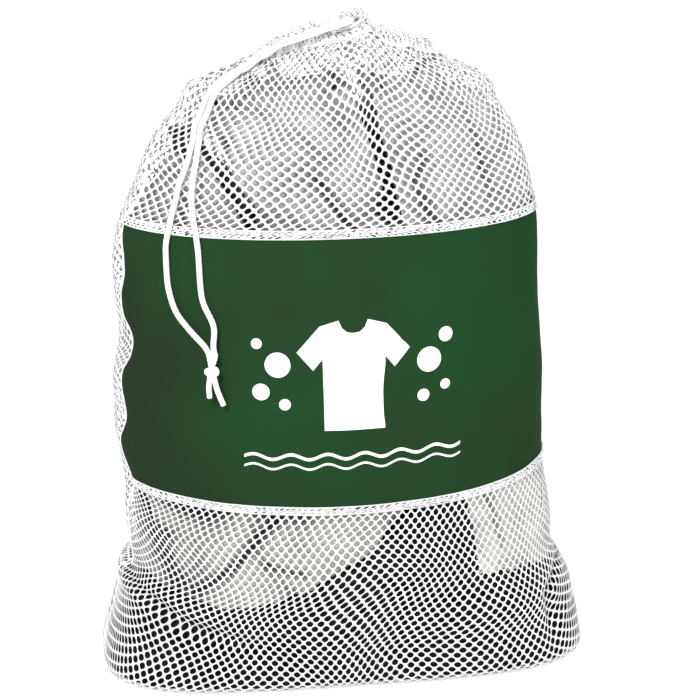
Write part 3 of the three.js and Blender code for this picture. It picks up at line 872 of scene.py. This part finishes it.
PLEATS = 29  # small pleats at the mouth
PLEAT_DEPTH = 6 * MM
BROAD_FOLDS = 11  # folds further down the crown
BROAD_DEPTH = 11 * MM
PLEAT_LEAN = 2.2  # phase by which the broad folds lean as they run down, halved for the small pleats
SLACKNESS = 1.015  # length of the cloth against the way it has to go
GATHER = 0.82  # width of the crown's cloth at the mouth against its width at the panel
SIM_FRAMES = 24
SIM_GAP = 2 * MM  # margin round the cloth, and round what it meets
SIM_INSIDE = 4 * MM  # it gathers over a shape this far inside the smooth crown
CLOTH = {
    "quality": 6, "mass": 0.12, "tension_stiffness": 22, "compression_stiffness": 12,
    "shear_stiffness": 4, "bending_stiffness": 0.08, "air_damping": 2, "vertex_group_mass": "held"}
rng = np.random.default_rng(7)


def uneven_phase(count, columns):
    """Phase that runs through `count` turns round the ring with uneven widths."""
    widths = rng.uniform(0.6, 1.4, count)
    edges = np.concatenate([[0], np.cumsum(widths)]) / widths.sum()
    return np.interp(np.arange(columns) / columns, edges, np.arange(count + 1)) * 2 * np.pi


def ring_of(front, back):
    """One closed ring of columns: along the front to the right, back along the rear to the left."""
    return np.concatenate([front[:, :-1], back[:, ::-1][:, :-1]], 1)


def simulate(start, flat, held, inner):
    """Let a grid of cloth settle over `inner` from `start`, with the rest lengths of `flat`.

    held marks pinned points."""
    rows, columns = start.shape[:2]
    faces = quads(rows, columns, wrap=True)
    cloth = mesh_object("crown_cloth", start.reshape(-1, 3), faces)
    group = cloth.vertex_groups.new(name="held")
    group.add([int(k) for k in np.nonzero(held.ravel())[0]], 1.0, "REPLACE")
    cloth.shape_key_add(name="start")
    rest = cloth.shape_key_add(name="flat")
    rest.data.foreach_set("co", flat.astype(np.float32).ravel())
    blocker = mesh_object("blocker", inner.reshape(-1, 3), faces)
    blocker.modifiers.new("hit", "COLLISION")
    blocker.collision.thickness_outer = SIM_GAP
    settings = cloth.modifiers.new("cloth", "CLOTH").settings
    for key, value in CLOTH.items():
        setattr(settings, key, value)
    settings.rest_shape_key = rest
    hits = cloth.modifiers["cloth"].collision_settings
    hits.use_collision = True
    hits.distance_min = SIM_GAP
    scene = bpy.context.scene
    for number in range(1, SIM_FRAMES + 1):
        scene.frame_set(number)
    settled = cloth.evaluated_get(bpy.context.evaluated_depsgraph_get()).data
    out = np.empty(3 * rows * columns, np.float32)
    settled.vertices.foreach_get("co", out)
    for thing in (cloth, blocker):
        bpy.data.objects.remove(thing)
    scene.frame_set(1)
    return out.reshape(start.shape).astype(float)


def gathered_crown():
    """Front and back grids of the crown with the pleats the drawn cord makes."""
    smooth = {side: crown_grid(side, CROWN_ROWS, HALF_COLUMNS) for side in (FRONT, BACK)}
    normals = ring_of(*(grid_normals(smooth[side], side) for side in (FRONT, BACK)))
    ring = ring_of(smooth[FRONT], smooth[BACK])
    columns = ring.shape[1]
    height = np.linspace(0, 1, CROWN_ROWS)[:, None]
    fine, broad = uneven_phase(PLEATS, columns), uneven_phase(BROAD_FOLDS, columns)
    lean = PLEAT_LEAN * np.sin(3 * np.arange(columns) / columns * 2 * np.pi + 1)
    small = (0.5 + 0.5 * np.cos(fine + 0.5 * lean * (1 - height))) * PLEAT_DEPTH * height**4
    large = (0.5 + 0.5 * np.cos(broad + lean * (1 - height))) * BROAD_DEPTH * height**1.6
    large *= 1 - 0.7 * height**4
    start = ring + normals * (small + large)[..., None]

    girth = np.linalg.norm(np.diff(ring[0], axis=0, append=ring[0, :1]), axis=1).sum()
    steps = np.linalg.norm(np.diff(ring, axis=0), axis=2)
    lengths = np.concatenate([np.zeros((1, columns)), np.cumsum(steps, 0)])
    turn = np.arange(columns) / columns * 2 * np.pi
    radius = girth / (2 * np.pi) * (1 + (GATHER - 1) * height)
    flat = np.stack([radius * np.cos(turn), radius * np.sin(turn), SLACKNESS * lengths], -1)
    held = np.zeros(ring.shape[:2], bool)
    held[[0, -1]] = True
    settled = simulate(start, flat, held, ring - normals * SIM_INSIDE)
    half = HALF_COLUMNS - 1
    front = settled[:, :half + 1]
    back = np.concatenate([settled[:, half:], settled[:, :1]], 1)[:, ::-1]
    return front, back


WALL_ROWS = 60
TIGHT = 0.7  # unevenness left in the panel and its bands, which are sewn taut


def finished(grid, side, loose=1.0):
    return Sheet(press_under_cord(relief(grid, side, loose), side), side)


crown_front, crown_back = gathered_crown()
lower_front = finished(floored_grid(FRONT, SEAM_LOW, WALL_ROWS, HALF_COLUMNS), FRONT)
panel_sheet = finished(wall_grid(FRONT, SEAM_LOW, SEAM_HIGH, WALL_ROWS, HALF_COLUMNS), FRONT, TIGHT)
upper_front = finished(crown_front, FRONT)
lower_back = finished(floored_grid(BACK, SEAM_LOW, WALL_ROWS, HALF_COLUMNS), BACK)
middle_back = finished(wall_grid(BACK, SEAM_LOW, SEAM_HIGH, WALL_ROWS, HALF_COLUMNS), BACK)
upper_back = finished(crown_back, BACK)


def girth_of(grid):
    return np.linalg.norm(np.diff(grid, axis=0), axis=1).sum()


FRONT_COLUMNS = round(girth_of(panel_sheet.grid[0]) / MESH_STEP)
BACK_COLUMNS = round(girth_of(middle_back.grid[0]) / MESH_STEP)


def net(name, sheet, columns, step, hole, *nodes):
    """A piece of the bag's open mesh over a whole sheet."""
    middle = sheet.grid.shape[1] // 2
    rows = round(girth_of(sheet.grid[:, middle]) / step)
    return dress(lattice(name, sheet, round(columns), rows, hole, YARN), MESH, "bag_mesh", "root", *nodes)


net("front_lower_net", lower_front, BASE_SPREAD * FRONT_COLUMNS, MESH_STEP, DRAWN_HOLE, "front_lower_mesh")
front_crown = net("front_upper_net", upper_front, CROWN_SPREAD * FRONT_COLUMNS, ROW_STEP, OPEN_HOLE,
                  "front_upper_mesh")


def joined(*sheets):
    """One sheet from several that meet edge to edge, lowest first."""
    grid = np.concatenate([sheets[0].grid] + [sheet.grid[1:] for sheet in sheets[1:]])
    return Sheet(spread_rows(grid, len(grid)), sheets[0].side)


# The back's three objects: name, and the heights between which each holds the net.
BACK_PARTS = (("lower", -1, SEAM_LOW), ("middle", SEAM_LOW, SEAM_HIGH), ("upper", SEAM_HIGH, 9))


def back_nets():
    """The back's one unbroken net, shared out by height between three objects with no edge between them."""
    sheet = joined(lower_back, middle_back, upper_back)
    rows = round(girth_of(sheet.grid[:, HALF_COLUMNS // 2]) / MESH_STEP)
    points, faces = lattice_shape(sheet, BACK_COLUMNS, rows, OPEN_HOLE, YARN)
    height = points[faces].mean(1)[:, 2]
    pieces = []
    for label, low, high in BACK_PARTS:
        shape = some_faces(points, faces, (height >= low) & (height < high))
        pieces.append(dress(mesh_object(f"back_{label}_net", *shape), MESH, "bag_mesh", "root", "back_mesh"))
    return pieces


back_crown = back_nets()[-1]

PANEL_THICKNESS = 0.6 * MM
PANEL_COLUMNS, PANEL_ROWS = 201, 121
panel_cloth = solid_sheet("panel_cloth", panel_sheet, PANEL_COLUMNS, PANEL_ROWS, PANEL_THICKNESS)
dress(panel_cloth, PANEL, "panel_fabric", "root", "front_panel")

# ---- Bands, stitching and side seams ----

BAND = 9.5 * MM
BAND_COLUMNS = 241
BAND_LIFT = 1.3 * MM
BAND_YARN = 1.2 * MM  # thickness of the doubled mesh
BAND_STEP = 7.2 * MM
BAND_HOLE = (0.6, 0.6)
BAND_RAGGED = 0.75
STITCH_STEP = 2.6 * MM
STITCH_SWING = 0.05  # share of the band's height
THREAD = 0.32 * MM  # radius of the sewing thread
SEAM_RADIUS = 1.1 * MM
SEAM_POINTS = 330
SEAM_UNEVEN = 0.3 * MM
SEAM_LOWEST = 1.8 * MM  # the middle of a side seam stays this far off the floor
FOOT_RADIUS = 1.3 * MM  # of the bottom seam
FOOT_LIFT = 1.4 * MM
FOOT_POINTS = 120


def band_sheet(z):
    """Strip of cloth along the panel's edge at height z, cut from the sheets on either side of it."""
    heights = np.linspace(z - BAND / 2, z + BAND / 2, 5)
    return finished(np.stack([outline(height, FRONT, BAND_COLUMNS) for height in heights]), FRONT, TIGHT)


def stitch_row(name, sheet, v, lift):
    """Zigzag thread along a strip."""
    count = int(girth_of(sheet.grid[0]) / STITCH_STEP)
    u = np.linspace(0.002, 0.998, count)
    across = v + STITCH_SWING * (-1.0) ** np.arange(count)
    points = sheet.at(u, across, lift + 0.25 * MM)
    return tube(name, points, THREAD, around=5)


for label, node, z, edge in (("lower", "panel_bottom_seam_band", SEAM_LOW, 0.92),
                             ("upper", "panel_top_seam_band", SEAM_HIGH, 0.08)):
    strip = band_sheet(z)
    columns = round(girth_of(strip.grid[0]) / BAND_STEP)
    band = lattice(f"{label}_band", strip, columns, 2, BAND_HOLE, BAND_YARN, lift=BAND_LIFT,
                   ragged=BAND_RAGGED)
    dress(band, MESH, "seam_band", "root", node)
    dress(stitch_row(f"{label}_band_stitches", strip, edge, BAND_LIFT + 0.6 * MM), MESH, "seam_band", "root")


def seam_path(pick):
    """Line of a side seam from the floor to the mouth, read off the front sheets' ends."""
    runs = [sheet.grid[:, pick] for sheet in (lower_front, panel_sheet, upper_front)]
    return spread(np.concatenate([runs[0], runs[1][1:], runs[2][1:]]), SEAM_POINTS)


for label, pick in (("left", 0), ("right", -1)):
    path = seam_path(pick)
    path[:, 2] = np.maximum(path[:, 2], SEAM_LOWEST)
    width = SEAM_RADIUS + SEAM_UNEVEN * ripple(path, 0.012, 11)
    dress(tube(f"{label}_side_seam_edge", path, width, around=10), MESH, "seam_band", "root",
          f"{label}_side_seam")
foot_x = np.linspace(lower_front.grid[0, 0, 0], lower_front.grid[0, -1, 0], FOOT_POINTS)
foot = np.stack([foot_x, 0 * foot_x, np.full(FOOT_POINTS, FOOT_LIFT)], 1)
dress(tube("bottom_seam_edge", foot, FOOT_RADIUS, around=8), MESH, "seam_band", "root", "bottom_seam")

# ---- Hem ring at the mouth ----


# Profile of the doubled hem, from outside over the top to inside: distance out against HEM_HALF, height
# against HEM_DEPTH, and whether it wavers.
HEM_PROFILE = ((1, 0.15, 0), (1, 0.45, 1), (0.85, 0.8, 1), (0, 1, 1), (-0.85, 0.8, 1), (-1, 0.45, 0))
HEM_FLARE = 0.5 * MM
HEM_STEP = 5.2 * MM
HEM_HOLE = (0.42, 0.42)
HEM_ROWS = 4


def hem_grid():
    """Doubled hem: up the outside of the gathered edge, over the top and down the inside."""
    ring = ring_of(upper_front.grid, upper_back.grid)
    ring = np.concatenate([ring, ring[:, :1]], 1)
    middle = np.array([MOUTH_MIDDLE, 0, 0])
    top = ring[-1]
    out = unit((top - middle) * [0.25, 1, 0])
    flare = HEM_FLARE * ripple(top, 0.02, 21)[:, None]
    up = np.array([0, 0, 1.0])
    rows = [ring[-4] + out * 0.4 * HEM_HALF, ring[-2] + out * 0.8 * HEM_HALF]
    for aside, height, wavers in HEM_PROFILE:
        rows.append(top + out * (aside * HEM_HALF + wavers * flare) + up * height * HEM_DEPTH)
    rows.append(top - out * 0.8 * HEM_HALF - up * 4 * MM)
    return np.stack(rows)


hem_sheet = Sheet(hem_grid(), FRONT)
hem_columns = round(girth_of(hem_sheet.grid[3]) / HEM_STEP)
hem = lattice("hem_ring", hem_sheet, hem_columns, HEM_ROWS, HEM_HOLE, YARN, ragged=0.3)
dress(hem, MESH, "seam_band", "root", "front_hem_casing", "back_hem_casing")

# ---- Drawcord ----

BRAID = 0.22 * MM  # height of the plait on the cord
CORD_STEP = 1.3 * MM  # between the rings of points along it
PAST_MOUTH = 60  # the first points lie inside the mouth, where the cord still rises
PARTS = ("mouth", "upper", "middle", "lower")
CASING_CORD = 0.62 * CORD_RADIUS  # the cord is squeezed where it runs in the hem
KNOT_LOOP = 1.9 * MM
mouth_pivot = pivot("cord_lift_mouth")
shoulder_pivot = pivot("cord_bend_shoulder")
hip_pivot = pivot("cord_bend_middle")
knot_pivot = pivot("knot_swing")
knot_low, knot_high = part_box("cord_knot")
KNOT = np.array((knot_low + knot_high) / 2)


def nearest(path, point):
    return int(np.linalg.norm(path - point, axis=1).argmin())


def height_index(path, z):
    """First place where the hanging path is below z."""
    return int(np.argmax(path[PAST_MOUTH:, 2] < z)) + PAST_MOUTH


for strand, path in STRANDS.items():
    start = centreline("cord_mouth_" + strand, 2)[::-1]
    full = smooth_path(np.concatenate([start[:-1:2], path[2::3], [KNOT + [0, 0, 6 * MM], KNOT]]), CORD_STEP)
    lift = nearest(full, mouth_pivot)
    shoulder, hip, neck = (height_index(full, place[2]) for place in (shoulder_pivot, hip_pivot, knot_pivot))
    cuts = [0, (lift + shoulder) // 2, (shoulder + hip) // 2, (hip + neck) // 2, len(full) - 1]
    for k, bend in enumerate((lift, shoulder, hip, neck)):
        stretch = full[cuts[k]:cuts[k + 1] + 1]
        piece = tube(f"drawcord_{PARTS[k]}_{strand}", stretch, CORD_RADIUS, braid=BRAID,
                     start=cuts[k] * CORD_STEP)
        piece.data.materials.append(CORD)
        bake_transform(piece)
        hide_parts(f"cord_{PARTS[k]}_{strand}")

hem_middle = (hem_sheet.grid[3] + hem_sheet.grid[7]) / 2
half_turn = HALF_COLUMNS - 1
casing_runs = []
for label, first in (("front", 3), ("back", half_turn + 3)):
    run = smooth_rows(hem_middle[first:first + half_turn - 6], 1)
    cord = tube(f"{label}_casing_run", smooth_path(run, 2 * MM), CASING_CORD, braid=0.5 * BRAID)
    casing_runs.append(dress(cord, CORD, "drawcord", "root", f"{label}_casing_cord"))

turn = np.linspace(0.35, 2 * np.pi - 0.35, 120)
loops = np.stack([np.sin(turn) + 2 * np.sin(2 * turn), -0.75 * np.sin(3 * turn),
                  np.cos(turn) - 2 * np.cos(2 * turn)], 1)
knot = tube("drawcord_knot", KNOT + loops * KNOT_LOOP, CORD_RADIUS * 0.9, braid=BRAID)
dress(knot, CORD, "drawcord", "knot", "cord_knot")
# The two cut ends below the knot's middle (mm).
TAILS = {"short": ((-2, -1, -4), (-3.5, -3, -14), (-3, -2, -26)),
         "long": ((2, -3, -4), (5, -6, -17), (11, -5, -34))}
for label, ends in TAILS.items():
    path = smooth_path(KNOT + np.array(ends) * MM, CORD_STEP)
    tail = tube(f"drawcord_tail_{label}", path, CORD_RADIUS * 0.95, braid=BRAID)
    dress(tail, CORD, "drawcord", "knot", f"cord_tail_{label}")

for piece in [hem] + casing_runs:
    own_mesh(piece)
for piece, body in ((front_crown, "front_hem"), (back_crown, "back_hem")):
    world = piece.matrix_world.copy()
    piece.parent = None
    piece.matrix_world = world
    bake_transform(piece)

# ---- Print on the panel ----


def cloth_tree(*sheets):
    """Search tree over the grids of some sheets, whose faces look outwards."""
    points, faces = [], []
    for sheet in sheets:
        rows, columns = sheet.grid.shape[:2]
        face = quads(rows, columns) + len(points)
        points += [Vector(p) for p in sheet.grid.reshape(-1, 3)]
        faces += (face if sheet.side == FRONT else face[:, ::-1]).tolist()
    return BVHTree.FromPolygons(points, faces)


PRINT_X, PRINT_Z = 5 * MM, 368 * MM
PRINT_SCALE = 1.1
PRINT_LIFT = 0.35 * MM
PRINT_GRID = 3.5  # spacing of the points inside a shape
# Right half of a plain T-shirt, from the middle of its foot round to its collar.
SHIRT_HALF = (
    (0, -50), (29, -50), (30, 20), (39, 9), (54, 26), (32, 50), (14, 55), (11, 48), (6, 44), (0, 43))
BUBBLES = (  # across, up, radius
    (-72, 14, 12), (-88, -12, 8), (-66, -24, 5.5), (-91, 34, 5),
    (73, 12, 12), (90, 34, 7), (67, -22, 6), (89, -14, 5))
LINE_SPAN = 105
LINE_SWING = 2.6
LINES = ((-76, 3.2), (-86, 2.2))  # height of a wavy line, its thickness


def print_shapes():
    half = np.array(SHIRT_HALF, float)
    yield np.concatenate([half, (half * [-1, 1])[::-1][1:-1]])
    for x, z, radius in BUBBLES:
        angle = np.linspace(0, 2 * np.pi, 40, endpoint=False)
        yield np.stack([x + radius * np.cos(angle), z + radius * np.sin(angle)], 1)
    for level, thickness in LINES:
        x = np.linspace(-LINE_SPAN, LINE_SPAN, 90)
        wave = level + LINE_SWING * np.sin(x / LINE_SPAN * 6 * np.pi)
        edge = np.stack([x, wave + thickness / 2], 1)
        yield np.concatenate([edge, np.stack([x, wave - thickness / 2], 1)[::-1]])


def inside(points, outline_points):
    """Which points lie inside a closed outline."""
    x, y = points.T
    found = np.zeros(len(points), bool)
    for (x0, y0), (x1, y1) in zip(outline_points, np.roll(outline_points, -1, 0)):
        crosses = (y0 > y) != (y1 > y)
        found ^= crosses & (x < (x1 - x0) * (y - y0) / (y1 - y0 + 1e-12) + x0)
    return found


def printed():
    """The print as one thin film that follows the panel."""
    points, faces = [], []
    for shape in print_shapes():
        low, high = shape.min(0), shape.max(0)
        xs, zs = np.meshgrid(*(np.arange(low[k], high[k], PRINT_GRID) for k in range(2)))
        fill = np.stack([xs.ravel(), zs.ravel()], 1)
        fill = fill[inside(fill, shape)]
        found = delaunay_2d_cdt([Vector(p) for p in np.concatenate([shape, fill])], [],
                                [list(range(len(shape)))], 1, 1e-5)
        first = len(points)
        points += [tuple(p) for p in found[0]]
        faces += [[first + i for i in face] for face in found[2]]
    flat = np.array(points) * PRINT_SCALE * MM + [PRINT_X, PRINT_Z]
    tree = cloth_tree(panel_sheet)
    put = []
    for x, z in flat:
        place, normal, _, _ = tree.ray_cast(Vector((x, -1, z)), Vector((0, 1, 0)))
        outward = normal if normal.y < 0 else -normal
        put.append(place + outward * (PANEL_THICKNESS / 2 + PRINT_LIFT))
    return mesh_object("panel_print", np.array(put), np.array(faces)[:, ::-1])


dress(printed(), PRINT, "panel_fabric", "root")

# ---- Washing ----

VOXEL = 4.5 * MM
INSIDE = 4.5 * MM  # the washing stays this far inside the cloth
FOOT_INSIDE = 2.2 * MM  # the same at the floor, where its weight presses it out
SINK = 16 * MM  # how far its foot sits below the frame's lump
# The gaps between the three towels at the top (x, z in mm).
LEFT_GAP = ((-165, 640), (-85, 505))
RIGHT_GAP = ((10, 720), (60, 505))
# Creases in each lump of washing: depth (mm), which also sets the shade painted into it, half width (mm), line
# (x, z in mm).
CREASES = {
    "white_towel_top_left": ((11, 5, LEFT_GAP),),
    "white_towel_top_middle": (
        (9, 6, ((-25, 565), (5, 520))), (11, 5, LEFT_GAP), (9, 4, RIGHT_GAP), (9, 7, ((40, 545), (55, 515)))),
    "white_towel_top_right": (
        (10, 6, ((90, 585), (80, 560), (100, 515))), (5, 6, ((140, 640), (170, 530))), (9, 4, RIGHT_GAP)),
    "cream_towel_left": (
        (8, 6, ((-80, 205), (-130, 140), (-170, 110))), (7, 14, ((-225, 195), (-190, 120))),
        (6, 5, ((-90, 150), (-50, 140))), (12, 9, ((-195, 210), (-160, 200), (-130, 215))),
        (6, 11, ((-90, 215), (-50, 210)))),
    "cream_towel_right": ((7, 4, ((155, 220), (180, 145))),),
    "dark_garment": ((8, 8, ((40, 130), (90, 100), (150, 95))), (7, 8, ((-190, 60), (-120, 45), (-60, 60)))),
}
BAG = cloth_tree(lower_front, panel_sheet, upper_front, lower_back, middle_back, upper_back)


def softened(node):
    """Points, faces and normals of a CAD lump, rounded off."""
    lump = new_object("lump", NODES[node].data.copy())
    lump.matrix_world = NODES[node].matrix_world
    remesh = lump.modifiers.new("remesh", "REMESH")
    remesh.mode = "VOXEL"
    remesh.voxel_size = VOXEL
    rounding = lump.modifiers.new("round", "SMOOTH")
    rounding.factor = 0.5
    rounding.iterations = 9
    mesh = lump.evaluated_get(bpy.context.evaluated_depsgraph_get()).to_mesh()
    points = np.array([lump.matrix_world @ v.co for v in mesh.vertices])
    normals = np.array([v.normal for v in mesh.vertices])
    faces = np.array([list(p.vertices) for p in mesh.polygons if len(p.vertices) == 4])
    bpy.data.objects.remove(lump)
    return points, faces, normals


FILL_HEIGHT = 150 * MM  # below this the load is pressed sideways out against the cloth
FILL = 60 * MM  # the widest space it closes


def inset_at(z):
    """How far inside the cloth the washing stays at height z."""
    return float(np.interp(z, (20 * MM, 80 * MM), (FOOT_INSIDE, INSIDE)))


def kept_inside(points):
    """Points held just inside the cloth."""
    out = points.copy()
    for k, point in enumerate(points):
        place, normal, _, _ = BAG.find_nearest(Vector(point))
        inset = inset_at(place.z)
        if (place - Vector(point)).dot(normal) < inset:
            out[k] = place - normal * inset
    return out


def pressed_out(points, normals):
    """The foot of the load spread level against the wall of the bag."""
    out = points.copy()
    share = np.clip(2 - 2 * points[:, 2] / FILL_HEIGHT, 0, 1)
    for k in np.nonzero(share)[0]:
        level = Vector((normals[k, 0], normals[k, 1], 0))
        if level.length < 0.25:
            continue
        level.normalize()
        start = Vector((points[k, 0], points[k, 1], max(points[k, 2], 6 * MM)))
        gap = BAG.ray_cast(start, level, FILL)[3]
        if gap:
            out[k] += np.array(level) * max(0, gap - inset_at(start.z)) * share[k]
    return out


TOP_SINK = 14 * MM  # the load falls away under the gathered top
LEFT_SINK = 16 * MM  # and at the top left
# Where each begins, to the left and upwards, and over which length it comes in (m).
SINK_LEFT, SINK_ABOVE, SINK_TOP = (0.06, 0.12), (0.52, 0.08), (0.62, 0.05)
ROUGH = 2 * MM  # small unevenness of the load
FOLD_SHADE = 0.4


def towel(name, node, slot, seed, depth, painted_shade):
    """One lump of washing: pressed out at its foot, creased and kept inside the bag, with shade painted into
    it.
    """
    points, faces, normals = softened(node)
    points[:, 2] -= SINK * np.clip(1 - points[:, 2] / (80 * MM), 0, 1)
    points = pressed_out(kept_inside(points), normals)
    fold = np.clip(1 - np.abs(ripple(points, 0.06, seed, (1, 1, 1.6))), 0, 1)
    drop = depth * fold**3 + ROUGH * ripple(points, 0.02, seed + 3)
    drop *= np.clip(points[:, 2] / (90 * MM), 0.15, 1)
    # painted shade: a base amount for the lump, more in its deepest folds
    shade = painted_shade + FOLD_SHADE * fold**6
    for deep, reach, line in CREASES.get(node, ()):
        gap, _ = distance_to_line(points, line)
        crease = np.exp(-((gap / (reach * MM)) ** 2)) * (points[:, 1] < 0)
        drop += deep * MM * crease
        # more painted shade along the crease
        shade += min(1, deep / 9) * crease
    left_top = climb(-points[:, 0], *SINK_LEFT) * climb(points[:, 2], *SINK_ABOVE)
    drop += LEFT_SINK * left_top + TOP_SINK * climb(points[:, 2], *SINK_TOP)
    points = kept_inside(points - normals * drop[:, None])
    lump = mesh_object(name, points, faces)
    # the fold attribute carries the painted shade to the material
    shades = lump.data.attributes.new("fold", "FLOAT", "POINT")
    shades.data.foreach_set("value", np.clip(shade, 0, 1).astype(np.float32))
    return dress(lump, WASHING[slot], slot, "root", node)


WASHING = {"dark_cloth": DARK_CLOTH, "cream_towel": CREAM_TOWEL, "white_towel": WHITE_TOWEL}
# Name, CAD node, slot, depth of its folds (mm), painted shade for how deep in shadow it lies in the bag.
LOADS = (
    ("garment_base", "dark_garment", "dark_cloth", 7, 0.0),
    ("cream_lump_left", "cream_towel_left", "cream_towel", 9, 0.3),
    ("cream_lump_right", "cream_towel_right", "cream_towel", 5, -0.1),
    ("white_lump_mid_left", "white_towel_middle_left", "white_towel", 3, 0.0),
    ("white_lump_mid_right", "white_towel_middle_right", "white_towel", 3, 0.0),
    ("white_lump_top_left", "white_towel_top_left", "white_towel", 12, 0.24),
    ("white_lump_top_middle", "white_towel_top_middle", "white_towel", 12, 0.06),
    ("white_lump_top_right", "white_towel_top_right", "white_towel", 8, -0.1),
)
for seed, (name, node, slot, depth, painted_shade) in enumerate(LOADS):
    towel(name, node, slot, 30 + 3 * seed, depth * MM, painted_shade)

# ---- Stage ----

CAMERA_AWAY = 2.0  # level distance from the bag's middle to the camera
CAMERA_HEIGHT = 1.074
CAMERA_TURN = math.radians(-7.7)  # round to the bag's left
CAMERA_DIP = math.radians(20)
CAMERA_ASIDE = 0.02
CAMERA_LENS = 98.2  # for a film 36 wide
LIGHT_TARGET = (0, 0, 0.35)
# Name, place, size, watts.
LIGHTS = (("key", (-1.3, -2.0, 2.4), 0.6, 75), ("fill", (1.8, -1.6, 1.2), 1.6, 20))
SURROUND = 0.85  # strength of the light from all round
BACKDROP = 1.1  # the same as the camera sees it, past white
FLOOR_TONE = (0.6, 0.6, 0.6)
FLOOR_GLOW = 0.5


def make_camera():
    camera = new_object("camera", bpy.data.cameras.new("camera"))
    camera.data.sensor_width = 36
    camera.data.lens = CAMERA_LENS
    camera.location = (CAMERA_AWAY * math.sin(CAMERA_TURN) + CAMERA_ASIDE,
                       -CAMERA_AWAY * math.cos(CAMERA_TURN), CAMERA_HEIGHT)
    camera.rotation_euler = (math.pi / 2 - CAMERA_DIP, 0, CAMERA_TURN)
    bpy.context.scene.camera = camera


def area_light(name, place, size, power):
    light = new_object(name, bpy.data.lights.new(name, "AREA"))
    light.data.size = size
    light.data.energy = power
    light.location = place
    light.rotation_euler = (Vector(LIGHT_TARGET) - Vector(place)).to_track_quat("-Z", "Y").to_euler()


def make_world():
    """Soft light from all round, behind which the camera sees plain white."""
    world = bpy.data.worlds.new("studio")
    bpy.context.scene.world = world
    world.use_nodes = True
    tree = world.node_tree
    glow = tree.nodes["Background"]
    glow.inputs["Color"].default_value = (1, 1, 1, 1)
    glow.inputs["Strength"].default_value = SURROUND
    seen = add(tree, "ShaderNodeBackground", Strength=BACKDROP)
    seen.inputs["Color"].default_value = (1, 1, 1, 1)
    rays = add(tree, "ShaderNodeLightPath")
    mix = add(tree, "ShaderNodeMixShader")
    wire(tree, rays, "Is Camera Ray", mix, 0)
    wire(tree, glow, 0, mix, 1)
    wire(tree, seen, 0, mix, 2)
    tree.links.new(mix.outputs[0], tree.nodes["World Output"].inputs["Surface"])


def make_stage():
    corners = np.array([[-6, -6, 0], [6, -6, 0], [6, 6, 0], [-6, 6, 0]]) - [0, 0, 1 * MM]
    floor = mesh_object("floor", corners, np.array([[0, 1, 2, 3]]))
    material, _, shader = new_material("floor", FLOOR_TONE, 0.9)
    shader.inputs["Emission Color"].default_value = (1, 1, 1, 1)
    shader.inputs["Emission Strength"].default_value = FLOOR_GLOW
    floor.data.materials.append(material)
    make_world()
    for light in LIGHTS:
        area_light(*light)
    bpy.context.scene.view_settings.view_transform = "Standard"


make_camera()
make_stage()
